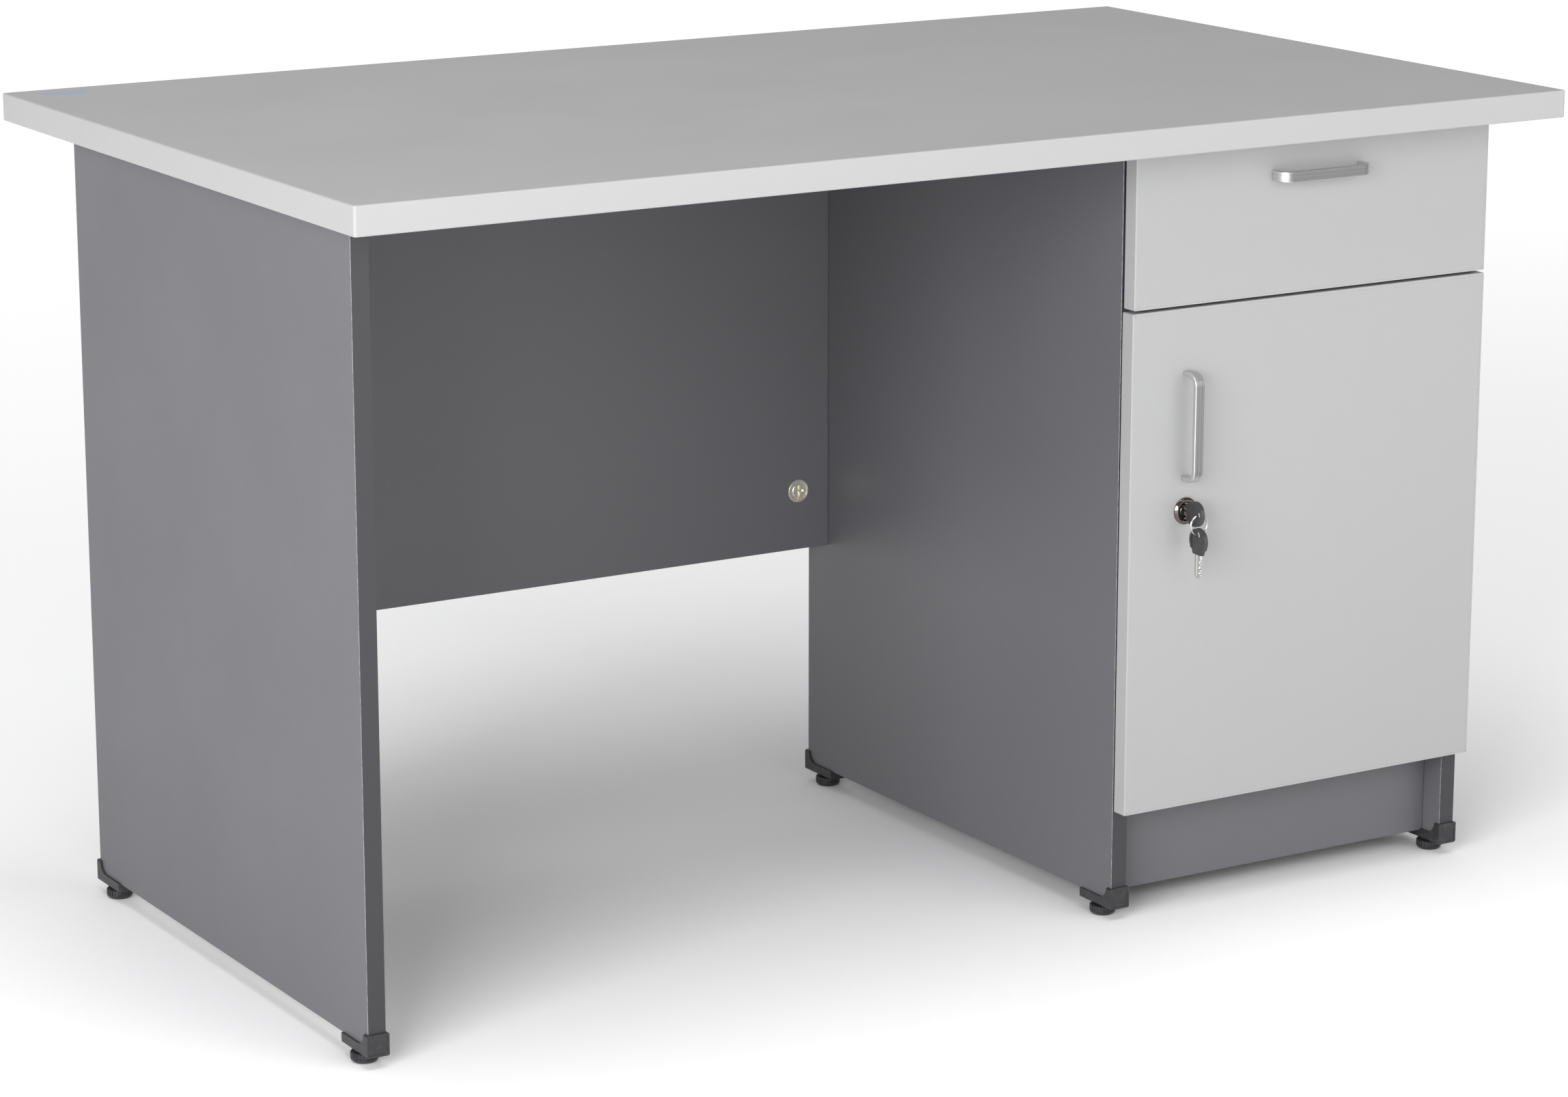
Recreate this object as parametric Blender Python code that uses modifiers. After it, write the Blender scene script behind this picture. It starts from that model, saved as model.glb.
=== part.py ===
"""A writing desk with one drawer over a cupboard, as separate boards, fittings and hardware.

Metres, +Z up. The origin is on the floor under the middle of the desktop, and the fronts face -Y.
"""

import math

import bmesh
import bpy
from mathutils import Vector

for old in list(bpy.data.objects):
    bpy.data.objects.remove(old, do_unlink=True)

# Driving dimensions
TOP_WIDTH = 1.220
TOP_DEPTH = 0.720
DESK_HEIGHT = 0.740
TOP_THICK = 0.025
BOARD = 0.016
SIDE_OVERHANG = 0.035
FRONT_OVERHANG = 0.080
LEFT_REAR_OVERHANG = 0.079
PEDESTAL_REAR_OVERHANG = 0.113
PEDESTAL_WIDTH = 0.398
PANEL_BOTTOM = 0.019
MODESTY_FRONT = 0.210
MODESTY_BOTTOM = 0.251
FLOOR_BOARD_BOTTOM = 0.1043
FRONTS_GAP = 0.0017
DOOR_TOP = 0.5657
DRAWER_BOTTOM = 0.5682
DRAWER_TOP = 0.7117
RUNNER_LENGTH = 0.450
PLINTH_SET_BACK = 0.025
FIT = 0.0003  # the gap between faces that touch
EDGE = 0.0005
PAST = 0.001  # how far a cutter goes past the face it opens

# Where those put the main faces
TOP_UNDERSIDE = DESK_HEIGHT - TOP_THICK
PANEL_TOP = TOP_UNDERSIDE - FIT
PANEL_FRONT = -TOP_DEPTH / 2 + FRONT_OVERHANG
LEFT_OUTER = -TOP_WIDTH / 2 + SIDE_OVERHANG
LEFT_INNER = LEFT_OUTER + BOARD
LEFT_REAR = TOP_DEPTH / 2 - LEFT_REAR_OVERHANG
RIGHT_OUTER = TOP_WIDTH / 2 - SIDE_OVERHANG
RIGHT_INNER = RIGHT_OUTER - BOARD
PEDESTAL_OUTER = RIGHT_OUTER - PEDESTAL_WIDTH
PEDESTAL_INNER = PEDESTAL_OUTER + BOARD
PEDESTAL_REAR = TOP_DEPTH / 2 - PEDESTAL_REAR_OVERHANG
PEDESTAL_MIDDLE = (PEDESTAL_OUTER + RIGHT_OUTER) / 2
FRONTS_BACK = PANEL_FRONT - FRONTS_GAP
FRONTS_FACE = FRONTS_BACK - BOARD
BACK_PANEL_FRONT = PEDESTAL_REAR - BOARD

desk = bpy.data.collections.new("writing_desk")
cutters = bpy.data.collections.new("cutters")
bpy.context.scene.collection.children.link(desk)
bpy.context.scene.collection.children.link(cutters)


def material(name, colour, roughness, metallic=0.0):
    made = bpy.data.materials.new(name)
    made.use_nodes = True
    shader = made.node_tree.nodes["Principled BSDF"]
    shader.inputs["Base Color"].default_value = (*colour, 1.0)
    shader.inputs["Roughness"].default_value = roughness
    shader.inputs["Metallic"].default_value = metallic
    return made


LIGHT_GREY = material("light_grey_laminate", (0.58, 0.58, 0.59), 0.45)
CHARCOAL = material("charcoal_laminate", (0.105, 0.103, 0.115), 0.55)
BLACK_PLASTIC = material("black_plastic", (0.035, 0.035, 0.037), 0.5)
ALUMINIUM = material("satin_aluminium", (0.72, 0.72, 0.73), 0.3, 1.0)
CHROME = material("chrome", (0.75, 0.72, 0.68), 0.12, 1.0)
ZINC = material("zinc", (0.62, 0.58, 0.5), 0.4, 1.0)
STEEL = material("plated_steel", (0.6, 0.6, 0.61), 0.35, 1.0)
NICKEL = material("nickel", (0.66, 0.65, 0.6), 0.25, 1.0)
DRAWER_GREY = material("drawer_laminate", (0.5, 0.5, 0.51), 0.5)
HARDBOARD = material("hardboard", (0.42, 0.42, 0.42), 0.7)


# Helpers
def joint_empty(name, location):
    """An empty on a joint's axis, which the pieces that move with it hang from."""
    empty = bpy.data.objects.new(name, None)
    empty.location = location
    desk.objects.link(empty)
    return empty


def settle(obj, paint, location, holder=None, turn=(0.0, 0.0, 0.0)):
    """Gives an object its material, its place in the world and its parent."""
    if paint:
        obj.data.materials.append(paint)
        desk.objects.link(obj)
    else:
        obj.hide_render = True
        obj.display_type = "WIRE"
        cutters.objects.link(obj)
    obj.rotation_euler = turn
    obj.location = Vector(location) - (holder.location if holder else Vector())
    obj.parent = holder
    return obj


def bevel(obj, width, segments=1):
    rounding = obj.modifiers.new("rounded_edges", "BEVEL")
    rounding.width = width
    rounding.segments = segments
    rounding.limit_method = "ANGLE"
    return obj


def box(name, low, high, paint=None, edge=EDGE, holder=None):
    """A board between two corners, with its edges eased. With no paint it is a cutter."""
    low, high = Vector(low), Vector(high)
    shape = bmesh.new()
    bmesh.ops.create_cube(shape, size=1.0)
    bmesh.ops.scale(shape, vec=high - low, verts=shape.verts)
    mesh = bpy.data.meshes.new(name)
    shape.to_mesh(mesh)
    shape.free()
    board = settle(bpy.data.objects.new(name, mesh), paint, (low + high) / 2, holder)
    return bevel(board, edge) if paint and edge else board


def cylinder(name, centre, radius, length, turn, sides=24):
    """A round cutter along its own Z, turned to the hole's direction."""
    shape = bmesh.new()
    bmesh.ops.create_cone(
        shape, cap_ends=True, segments=sides, radius1=radius, radius2=radius, depth=length
    )
    mesh = bpy.data.meshes.new(name)
    shape.to_mesh(mesh)
    shape.free()
    return settle(bpy.data.objects.new(name, mesh), None, centre, turn=turn)


def cut(obj, cutter, operation="DIFFERENCE"):
    boolean = obj.modifiers.new(cutter.name, "BOOLEAN")
    boolean.operation = operation
    boolean.object = cutter
    return obj


def turned(name, profile, location, turn, paint, holder=None, closed=False, steps=24):
    """A turned piece. The profile is (radius, height) pairs, down the outer side from the top."""
    mesh = bpy.data.meshes.new(name)
    points = [(radius, 0.0, height) for radius, height in profile]
    edges = [(i, i + 1) for i in range(len(points) - 1)]
    if closed:
        edges.append((len(points) - 1, 0))
    mesh.from_pydata(points, edges, [])
    piece = settle(bpy.data.objects.new(name, mesh), paint, location, holder, turn)
    lathe = piece.modifiers.new("lathe", "SCREW")
    lathe.steps = steps
    lathe.render_steps = steps
    lathe.use_merge_vertices = True
    lathe.merge_threshold = 0.00001
    lathe.use_smooth_shade = True
    return piece


def arc(centre, radius, start, end, count):
    """Points on a circle from one angle to another, in degrees, ends included."""
    angles = [math.radians(start + (end - start) * i / count) for i in range(count + 1)]
    return [(centre[0] + radius * math.cos(a), centre[1] + radius * math.sin(a)) for a in angles]


def flat(name, outlines, thickness, location, turn, paint, holder=None):
    """A flat piece from closed outlines: the first is its edge and the others are holes."""
    curve = bpy.data.curves.new(name, "CURVE")
    curve.dimensions = "2D"
    curve.fill_mode = "BOTH"
    curve.extrude = thickness / 2
    for outline in outlines:
        spline = curve.splines.new("POLY")
        spline.points.add(len(outline) - 1)
        spline.use_cyclic_u = True
        for point, (x, y) in zip(spline.points, outline):
            point.co = (x, y, 0.0, 1.0)
    return settle(bpy.data.objects.new(name, curve), paint, location, holder, turn)


def meshed(piece):
    """The same piece as a welded mesh, so that it can be cut."""
    bpy.context.view_layer.update()
    depsgraph = bpy.context.evaluated_depsgraph_get()
    mesh = bpy.data.meshes.new_from_object(piece.evaluated_get(depsgraph))
    shape = bmesh.new()
    shape.from_mesh(mesh)
    bmesh.ops.remove_doubles(shape, verts=shape.verts, dist=0.00001)
    shape.to_mesh(mesh)
    shape.free()
    name, place = piece.name, piece.matrix_world.copy()
    bpy.data.objects.remove(piece, do_unlink=True)
    solid = bpy.data.objects.new(name, mesh)
    desk.objects.link(solid)
    solid.matrix_world = place
    return solid


FACING_FRONT = (math.pi / 2, 0.0, 0.0)  # local Z to -Y, so an outline's X and Y are X and Z
FACING_REAR = (-math.pi / 2, 0.0, 0.0)
FACING_RIGHT = (0.0, math.pi / 2, 0.0)
SIDE_ON = (math.pi / 2, 0.0, math.pi / 2)  # an outline's X and Y are Y and Z
UPRIGHT = (0.0, 0.0, 0.0)


# Desktop
TOP_CORNER = 0.0015
desktop = box(
    "desktop",
    (-TOP_WIDTH / 2, -TOP_DEPTH / 2, TOP_UNDERSIDE),
    (TOP_WIDTH / 2, TOP_DEPTH / 2, DESK_HEIGHT),
    LIGHT_GREY,
    edge=0,
)
bevel(desktop, TOP_CORNER, segments=2)


# Upright panels, each with a bore in its bottom edge at both ends for a levelling foot
FOOT_SET_IN = 0.0245
STUD_RADIUS = 0.004
STUD_BORE_RADIUS = 0.0046
STUD_TOP = 0.039
STUD_BORE_TOP = STUD_TOP + 0.002


def upright(name, left, rear):
    panel = box(name, (left, PANEL_FRONT, PANEL_BOTTOM), (left + BOARD, rear, PANEL_TOP), CHARCOAL)
    for end, y in (("front", PANEL_FRONT + FOOT_SET_IN), ("rear", rear - FOOT_SET_IN)):
        bore = cylinder(
            f"{name}_{end}_bore",
            (left + BOARD / 2, y, STUD_BORE_TOP / 2),
            STUD_BORE_RADIUS,
            STUD_BORE_TOP,
            UPRIGHT,
            sides=16,
        )
        cut(panel, bore)
    return panel


left_panel = upright("left_end_panel", LEFT_OUTER, LEFT_REAR)
pedestal_left = upright("pedestal_left_panel", PEDESTAL_OUTER, PEDESTAL_REAR)
pedestal_right = upright("pedestal_right_panel", RIGHT_INNER, PEDESTAL_REAR)


# Modesty panel and the connectors that pull it against the uprights
CONNECTOR_SET_IN = 0.035
CONNECTOR_RISE = 0.059
CONNECTOR_RADIUS = 0.0100
CONNECTOR_DEPTH = 0.0125
CONNECTOR_RIM = 0.0115
CONNECTOR_PROUD = 0.0015
CONNECTOR_CHAMFER = 0.0006
CROSS_HALF_LENGTH = 0.0055
CROSS_HALF_WIDTH = 0.0010
CROSS_DEPTH = 0.0020

modesty = box(
    "modesty_panel",
    (LEFT_INNER + FIT, MODESTY_FRONT, MODESTY_BOTTOM),
    (PEDESTAL_OUTER - FIT, MODESTY_FRONT + BOARD, PANEL_TOP),
    CHARCOAL,
)


def modesty_connector(name, x):
    """A round zinc cam with a rim and a cross slot, in a blind bore of the modesty panel."""
    z = MODESTY_BOTTOM + CONNECTOR_RISE
    bore = cylinder(
        f"{name}_bore",
        (x, MODESTY_FRONT, z),
        CONNECTOR_RADIUS + FIT,
        2 * (CONNECTOR_DEPTH + FIT),
        FACING_FRONT,
    )
    cut(modesty, bore)
    rim_back = FIT
    profile = [
        (0.0, CONNECTOR_PROUD),
        (CONNECTOR_RIM - CONNECTOR_CHAMFER, CONNECTOR_PROUD),
        (CONNECTOR_RIM, CONNECTOR_PROUD - CONNECTOR_CHAMFER),
        (CONNECTOR_RIM, rim_back),
        (CONNECTOR_RADIUS, rim_back),
        (CONNECTOR_RADIUS, -CONNECTOR_DEPTH),
        (0.0, -CONNECTOR_DEPTH),
    ]
    cam = turned(name, profile, (x, MODESTY_FRONT, z), FACING_FRONT, ZINC)
    face = MODESTY_FRONT - CONNECTOR_PROUD
    for way, (half_x, half_z) in {
        "across": (CROSS_HALF_LENGTH, CROSS_HALF_WIDTH),
        "up": (CROSS_HALF_WIDTH, CROSS_HALF_LENGTH),
    }.items():
        slot = box(
            f"{name}_slot_{way}",
            (x - half_x, face - PAST, z - half_z),
            (x + half_x, face + CROSS_DEPTH, z + half_z),
        )
        cut(cam, slot)


modesty_connector("modesty_connector_left", LEFT_INNER + CONNECTOR_SET_IN)
modesty_connector("modesty_connector_right", PEDESTAL_OUTER - CONNECTOR_SET_IN)


# Pedestal carcass
INSIDE_LEFT = PEDESTAL_INNER + FIT
INSIDE_RIGHT = RIGHT_INNER - FIT
DIVIDER_BOTTOM = 0.559

box(
    "pedestal_back_panel",
    (INSIDE_LEFT, BACK_PANEL_FRONT, FLOOR_BOARD_BOTTOM),
    (INSIDE_RIGHT, PEDESTAL_REAR, PANEL_TOP),
    CHARCOAL,
)
for board_name, bottom in (("pedestal_floor", FLOOR_BOARD_BOTTOM), ("drawer_divider", DIVIDER_BOTTOM)):
    box(
        board_name,
        (INSIDE_LEFT, PANEL_FRONT + FIT, bottom),
        (INSIDE_RIGHT, BACK_PANEL_FRONT - FIT, bottom + BOARD),
        CHARCOAL,
    )

PLINTH_FRONT = PANEL_FRONT + PLINTH_SET_BACK
plinth = box(
    "plinth_board",
    (INSIDE_LEFT, PLINTH_FRONT, PANEL_BOTTOM),
    (INSIDE_RIGHT, PLINTH_FRONT + BOARD, FLOOR_BOARD_BOTTOM - FIT),
    CHARCOAL,
)

SHELF_UNDERSIDE = 0.330
SHELF_CLEARANCE = 0.002
SHELF_SET_BACK = 0.035
SHELF_REAR_GAP = 0.006
SHELF_FRONT = PANEL_FRONT + SHELF_SET_BACK
SHELF_REAR = BACK_PANEL_FRONT - SHELF_REAR_GAP
box(
    "adjustable_shelf",
    (PEDESTAL_INNER + SHELF_CLEARANCE, SHELF_FRONT, SHELF_UNDERSIDE),
    (RIGHT_INNER - SHELF_CLEARANCE, SHELF_REAR, SHELF_UNDERSIDE + BOARD),
    CHARCOAL,
)

PIN_RADIUS = 0.0025
PIN_REACH = 0.0080
PIN_COLLAR = 0.0040
PIN_COLLAR_THICK = 0.0015
PIN_BORE_FIT = 0.0005
PIN_SET_IN = 0.040
PIN_Z = SHELF_UNDERSIDE - FIT - PIN_RADIUS


def shelf_pin(name, panel, wall, inward, y):
    """A steel pin in a side panel. inward is +1 on the left panel and -1 on the right one."""
    bore = cylinder(
        f"{name}_bore", (wall, y, PIN_Z), PIN_RADIUS + FIT, 2 * PIN_REACH, FACING_RIGHT, sides=12
    )
    cut(panel, bore)
    profile = [
        (0.0, PIN_REACH),
        (PIN_RADIUS, PIN_REACH),
        (PIN_RADIUS, PIN_COLLAR_THICK),
        (PIN_COLLAR, PIN_COLLAR_THICK),
        (PIN_COLLAR, FIT),
        (PIN_RADIUS, FIT),
        (PIN_RADIUS, -PIN_REACH + PIN_BORE_FIT),
        (0.0, -PIN_REACH + PIN_BORE_FIT),
    ]
    turn = (0.0, inward * math.pi / 2, 0.0)
    turned(name, profile, (wall, y, PIN_Z), turn, STEEL, steps=12)


# The shelf rests on the pins, and each pin's collar stands in the gap beside the shelf's end
for pin_end, pin_y in (("front", SHELF_FRONT + PIN_SET_IN), ("rear", SHELF_REAR - PIN_SET_IN)):
    shelf_pin(f"shelf_pin_left_{pin_end}", pedestal_left, PEDESTAL_INNER, 1, pin_y)
    shelf_pin(f"shelf_pin_right_{pin_end}", pedestal_right, RIGHT_INNER, -1, pin_y)


# Corner shoes and levelling feet
SHOE_WALL = 0.0020
SHOE_PLAY = 0.00035
SHOE_LENGTH = 0.049
SHOE_BOTTOM = 0.011
SHOE_LIP = 0.020
SHOE_FRONT_TOP = 0.031
SHOE_FRONT_RUN = 0.005
SHOE_CHAMFER = 0.001
SHOE_CURVE = SHOE_FRONT_TOP - SHOE_LIP
SHOE_WIDTH = BOARD + 2 * (SHOE_PLAY + SHOE_WALL)
FOOT_RADIUS = 0.012
FOOT_HEIGHT = 0.009
FOOT_CHAMFER = 0.0008


def corner_shoe(name, middle, edge, inward):
    """A moulded shoe round a panel's bottom corner. inward is +1 at the front, -1 at the rear."""
    out = -(SHOE_WALL + SHOE_PLAY)
    curve = arc((SHOE_FRONT_RUN + SHOE_CURVE, SHOE_FRONT_TOP), SHOE_CURVE, 180, 270, 6)
    outline = [
        (out + SHOE_CHAMFER, SHOE_BOTTOM),
        (SHOE_LENGTH + out, SHOE_BOTTOM),
        (SHOE_LENGTH + out, SHOE_LIP),
        *reversed(curve),
        (out, SHOE_FRONT_TOP),
        (out, SHOE_BOTTOM + SHOE_CHAMFER),
    ]
    placed = [(inward * u, z) for u, z in outline]
    shoe = meshed(flat(name, [placed], SHOE_WIDTH, (middle, edge, 0.0), SIDE_ON, BLACK_PLASTIC))
    half = BOARD / 2 + SHOE_PLAY
    inner, outer = sorted((edge - inward * SHOE_PLAY, edge + inward * 2 * SHOE_LENGTH))
    pocket = box(
        f"{name}_pocket",
        (middle - half, inner, PANEL_BOTTOM - FIT),
        (middle + half, outer, 2 * SHOE_FRONT_TOP),
    )
    cut(shoe, pocket)
    stud = (middle, edge + inward * FOOT_SET_IN)
    bore = cylinder(
        f"{name}_bore", (*stud, SHOE_BOTTOM), STUD_BORE_RADIUS, 2 * BOARD, UPRIGHT, sides=16
    )
    cut(shoe, bore)
    return stud


def levelling_foot(name, x, y):
    """A round foot on a stud, which screws out of the panel's bottom edge."""
    holder = joint_empty(f"{name}_axis", (x, y, 0.0))
    profile = [
        (0.0, STUD_TOP),
        (STUD_RADIUS, STUD_TOP),
        (STUD_RADIUS, FOOT_HEIGHT),
        (FOOT_RADIUS - FOOT_CHAMFER, FOOT_HEIGHT),
        (FOOT_RADIUS, FOOT_HEIGHT - FOOT_CHAMFER),
        (FOOT_RADIUS, 0.0034),
        (FOOT_RADIUS - 0.0015, 0.0010),
        (FOOT_RADIUS - 0.0035, 0.0),
        (0.0, 0.0),
    ]
    turned(name, profile, (x, y, 0.0), UPRIGHT, BLACK_PLASTIC, holder)


for panel_name, panel_left, panel_rear in (
    ("left_panel", LEFT_OUTER, LEFT_REAR),
    ("pedestal_left", PEDESTAL_OUTER, PEDESTAL_REAR),
    ("pedestal_right", RIGHT_INNER, PEDESTAL_REAR),
):
    for end, edge_y, inward in (("front", PANEL_FRONT, 1), ("rear", panel_rear, -1)):
        middle = panel_left + BOARD / 2
        x, y = corner_shoe(f"{panel_name}_{end}_shoe", middle, edge_y, inward)
        levelling_foot(f"{panel_name}_{end}_foot", x, y)

# The plinth's lower corners are notched round the shoes' lips
NOTCH = SHOE_WALL + SHOE_PLAY + FIT
for side, near, far in (
    ("left", PEDESTAL_INNER - PAST, PEDESTAL_INNER + NOTCH),
    ("right", RIGHT_INNER - NOTCH, RIGHT_INNER + PAST),
):
    notch = box(
        f"plinth_notch_{side}",
        (near, PLINTH_FRONT - PAST, PANEL_BOTTOM - PAST),
        (far, PLINTH_FRONT + BOARD + PAST, SHOE_LIP + FIT),
    )
    cut(plinth, notch)


# Drawer runners: a channel on the panel, one between, and one on the drawer, each side
RUNNER_Z = 0.625
RUNNER_STEEL = 0.0012
RUNNER_SET_BACK = 0.003
MIDDLE_RUNNER_LENGTH = 0.430
INNER_RUNNER_LENGTH = 0.444
OUTER_RUNNER = {"near": 0.0003, "far": 0.0100, "half": 0.0228}
MIDDLE_RUNNER = {"near": 0.0032, "far": 0.0113, "half": 0.0185}
INNER_RUNNER = {"near": 0.0060, "far": 0.0122, "half": 0.0135}
DRAWER_SIDE_CLEARANCE = 0.0125
DRAWER_BOX_FRONT = FRONTS_BACK + FIT

drawer_axis = joint_empty("drawer_axis", (PEDESTAL_MIDDLE, FRONTS_FACE, RUNNER_Z))


def runner(name, size, wall, inward, web, length, holder=None):
    """A folded steel channel along Y. Its web is at the panel's side ("near") or the drawer's."""
    closed, opened = (size["near"], size["far"]) if web == "near" else (size["far"], size["near"])
    step = RUNNER_STEEL if web == "near" else -RUNNER_STEEL
    half = size["half"]
    outline = [
        (closed, -half),
        (opened, -half),
        (opened, -half + RUNNER_STEEL),
        (closed + step, -half + RUNNER_STEEL),
        (closed + step, half - RUNNER_STEEL),
        (opened, half - RUNNER_STEEL),
        (opened, half),
        (closed, half),
    ]
    placed = [(inward * u, z) for u, z in outline]
    middle = (wall, PANEL_FRONT + RUNNER_SET_BACK + length / 2, RUNNER_Z)
    flat(name, [placed], length, middle, FACING_FRONT, STEEL, holder)


for side, wall, inward in (("left", PEDESTAL_INNER, 1), ("right", RIGHT_INNER, -1)):
    runner(f"runner_outer_{side}", OUTER_RUNNER, wall, inward, "near", RUNNER_LENGTH)
    middle_axis = joint_empty(f"runner_middle_{side}_axis", (wall, PANEL_FRONT, RUNNER_Z))
    runner(
        f"runner_middle_{side}",
        MIDDLE_RUNNER,
        wall,
        inward,
        "near",
        MIDDLE_RUNNER_LENGTH,
        middle_axis,
    )
    runner(
        f"runner_inner_{side}",
        INNER_RUNNER,
        wall,
        inward,
        "far",
        INNER_RUNNER_LENGTH,
        drawer_axis,
    )


# Drawer box
DRAWER_SIDE_THICK = 0.012
DRAWER_BOX_BOTTOM = 0.584
DRAWER_BOX_TOP = 0.694
DRAWER_BOX_REAR = DRAWER_BOX_FRONT + RUNNER_LENGTH
DRAWER_BASE_BOTTOM = 0.590
DRAWER_BASE_THICK = 0.004
GROOVE_DEPTH = 0.005
DRAWER_FRONT_INSET = 0.001
FRONT_EDGE = 0.0008

box_left = PEDESTAL_INNER + DRAWER_SIDE_CLEARANCE
box_right = RIGHT_INNER - DRAWER_SIDE_CLEARANCE
inside_left = box_left + DRAWER_SIDE_THICK
inside_right = box_right - DRAWER_SIDE_THICK
base_top = DRAWER_BASE_BOTTOM + DRAWER_BASE_THICK

for side, low_x, high_x, groove_low, groove_high in (
    ("left", box_left, inside_left, inside_left - GROOVE_DEPTH, inside_left + GROOVE_DEPTH),
    ("right", inside_right, box_right, inside_right - GROOVE_DEPTH, inside_right + GROOVE_DEPTH),
):
    drawer_side = box(
        f"drawer_{side}_side",
        (low_x, DRAWER_BOX_FRONT, DRAWER_BOX_BOTTOM),
        (high_x, DRAWER_BOX_REAR, DRAWER_BOX_TOP),
        DRAWER_GREY,
        holder=drawer_axis,
    )
    groove = box(
        f"drawer_{side}_groove",
        (groove_low, DRAWER_BOX_FRONT - PAST, DRAWER_BASE_BOTTOM - FIT),
        (groove_high, DRAWER_BOX_REAR + PAST, base_top + FIT),
    )
    cut(drawer_side, groove)

box(
    "drawer_bottom",
    (inside_left - GROOVE_DEPTH + FIT, DRAWER_BOX_FRONT, DRAWER_BASE_BOTTOM),
    (inside_right + GROOVE_DEPTH - FIT, DRAWER_BOX_REAR - FIT, base_top),
    HARDBOARD,
    edge=0,
    holder=drawer_axis,
)
box(
    "drawer_back",
    (inside_left + FIT, DRAWER_BOX_REAR - DRAWER_SIDE_THICK, base_top + FIT),
    (inside_right - FIT, DRAWER_BOX_REAR, DRAWER_BOX_TOP),
    DRAWER_GREY,
    holder=drawer_axis,
)
box(
    "drawer_front",
    (PEDESTAL_OUTER + DRAWER_FRONT_INSET, FRONTS_FACE, DRAWER_BOTTOM),
    (RIGHT_OUTER - DRAWER_FRONT_INSET, FRONTS_BACK, DRAWER_TOP),
    LIGHT_GREY,
    edge=FRONT_EDGE,
    holder=drawer_axis,
)


# Door. Its concealed hinges turn it about an axis inside its right edge.
DOOR_LEFT_PROUD = 0.0002
DOOR_RIGHT_INSET = 0.0006
DOOR_LEFT = PEDESTAL_OUTER - DOOR_LEFT_PROUD
DOOR_RIGHT = RIGHT_OUTER - DOOR_RIGHT_INSET
DOOR_AXIS_SET_IN = 0.0034
DOOR_AXIS_DEPTH = 0.0050

door_axis = joint_empty(
    "door_axis", (DOOR_RIGHT - DOOR_AXIS_SET_IN, FRONTS_BACK - DOOR_AXIS_DEPTH, FLOOR_BOARD_BOTTOM)
)
door = box(
    "door_panel",
    (DOOR_LEFT, FRONTS_FACE, FLOOR_BOARD_BOTTOM),
    (DOOR_RIGHT, FRONTS_BACK, DOOR_TOP),
    LIGHT_GREY,
    edge=FRONT_EDGE,
    holder=door_axis,
)


# Bow handles
HANDLE_LENGTH = 0.1005
HANDLE_WIDTH = 0.010
HANDLE_THICK = 0.0047
HANDLE_REACH = 0.0195
HANDLE_CORNER = 0.012
DRAWER_HANDLE_Z = 0.677
DOOR_HANDLE_X = 0.2377
DOOR_HANDLE_Z = 0.459


def bow_outline():
    """A handle seen along its width: two legs on the front at y = 0 and a bar at full reach."""
    half, inner = HANDLE_LENGTH / 2, HANDLE_CORNER - HANDLE_THICK
    cx, cy = half - HANDLE_CORNER, HANDLE_REACH - HANDLE_CORNER
    outer_arc = arc((cx, cy), HANDLE_CORNER, 0, 90, 6)
    inner_arc = arc((cx, cy), inner, 0, 90, 6)
    right = [(half, 0.0), *outer_arc]
    left = [(-x, y) for x, y in reversed(right)]
    hollow_left = [(-half + HANDLE_THICK, 0.0), *[(-x, y) for x, y in inner_arc]]
    hollow_right = [(-x, y) for x, y in reversed(hollow_left)]
    return right + left + hollow_left + hollow_right


HANDLE_BASE = FRONTS_FACE - FIT
outward = [(x, -y) for x, y in bow_outline()]
flat(
    "drawer_handle",
    [outward],
    HANDLE_WIDTH,
    (PEDESTAL_MIDDLE, HANDLE_BASE, DRAWER_HANDLE_Z),
    UPRIGHT,
    ALUMINIUM,
    drawer_axis,
)
upright_bow = [(-y, x) for x, y in bow_outline()]
flat(
    "door_handle",
    [upright_bow],
    HANDLE_WIDTH,
    (DOOR_HANDLE_X, HANDLE_BASE, DOOR_HANDLE_Z),
    SIDE_ON,
    ALUMINIUM,
    door_axis,
)


# Concealed hinges: a cup in the door, an arm and a mounting plate on the right panel
CUP_SET_IN = 0.022
CUP_X = DOOR_RIGHT - CUP_SET_IN
CUP_RADIUS = 0.0175
CUP_WALL = 0.0010
CUP_DEPTH = 0.0110
CUP_FLANGE = 0.0195
FLANGE_THICK = 0.0013
WING_SKIN = 0.0002  # the wing is this much thinner than the flange on each face
WING_HALF = 0.026
WING_OUT, WING_IN = 0.0075, 0.0055
HINGE_HEIGHTS = {"lower": 0.194, "upper": 0.476}
ARM_HALF = 0.0055
ARM_HEEL = -0.204
ARM_CRANK = FRONTS_BACK + 0.0140
ARM_NOSE = FRONTS_BACK - 0.0058
ARM_FAR = RIGHT_INNER - 0.0135
ARM_NEAR = RIGHT_INNER - 0.0055
NOSE_TAPER = 0.003
PLATE_THICK = 0.0020
PLATE_HALF = 0.024
PLATE_FRONT, PLATE_BACK = -0.252, -0.216
BLOCK_FRONT, BLOCK_BACK = -0.250, -0.210


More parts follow.
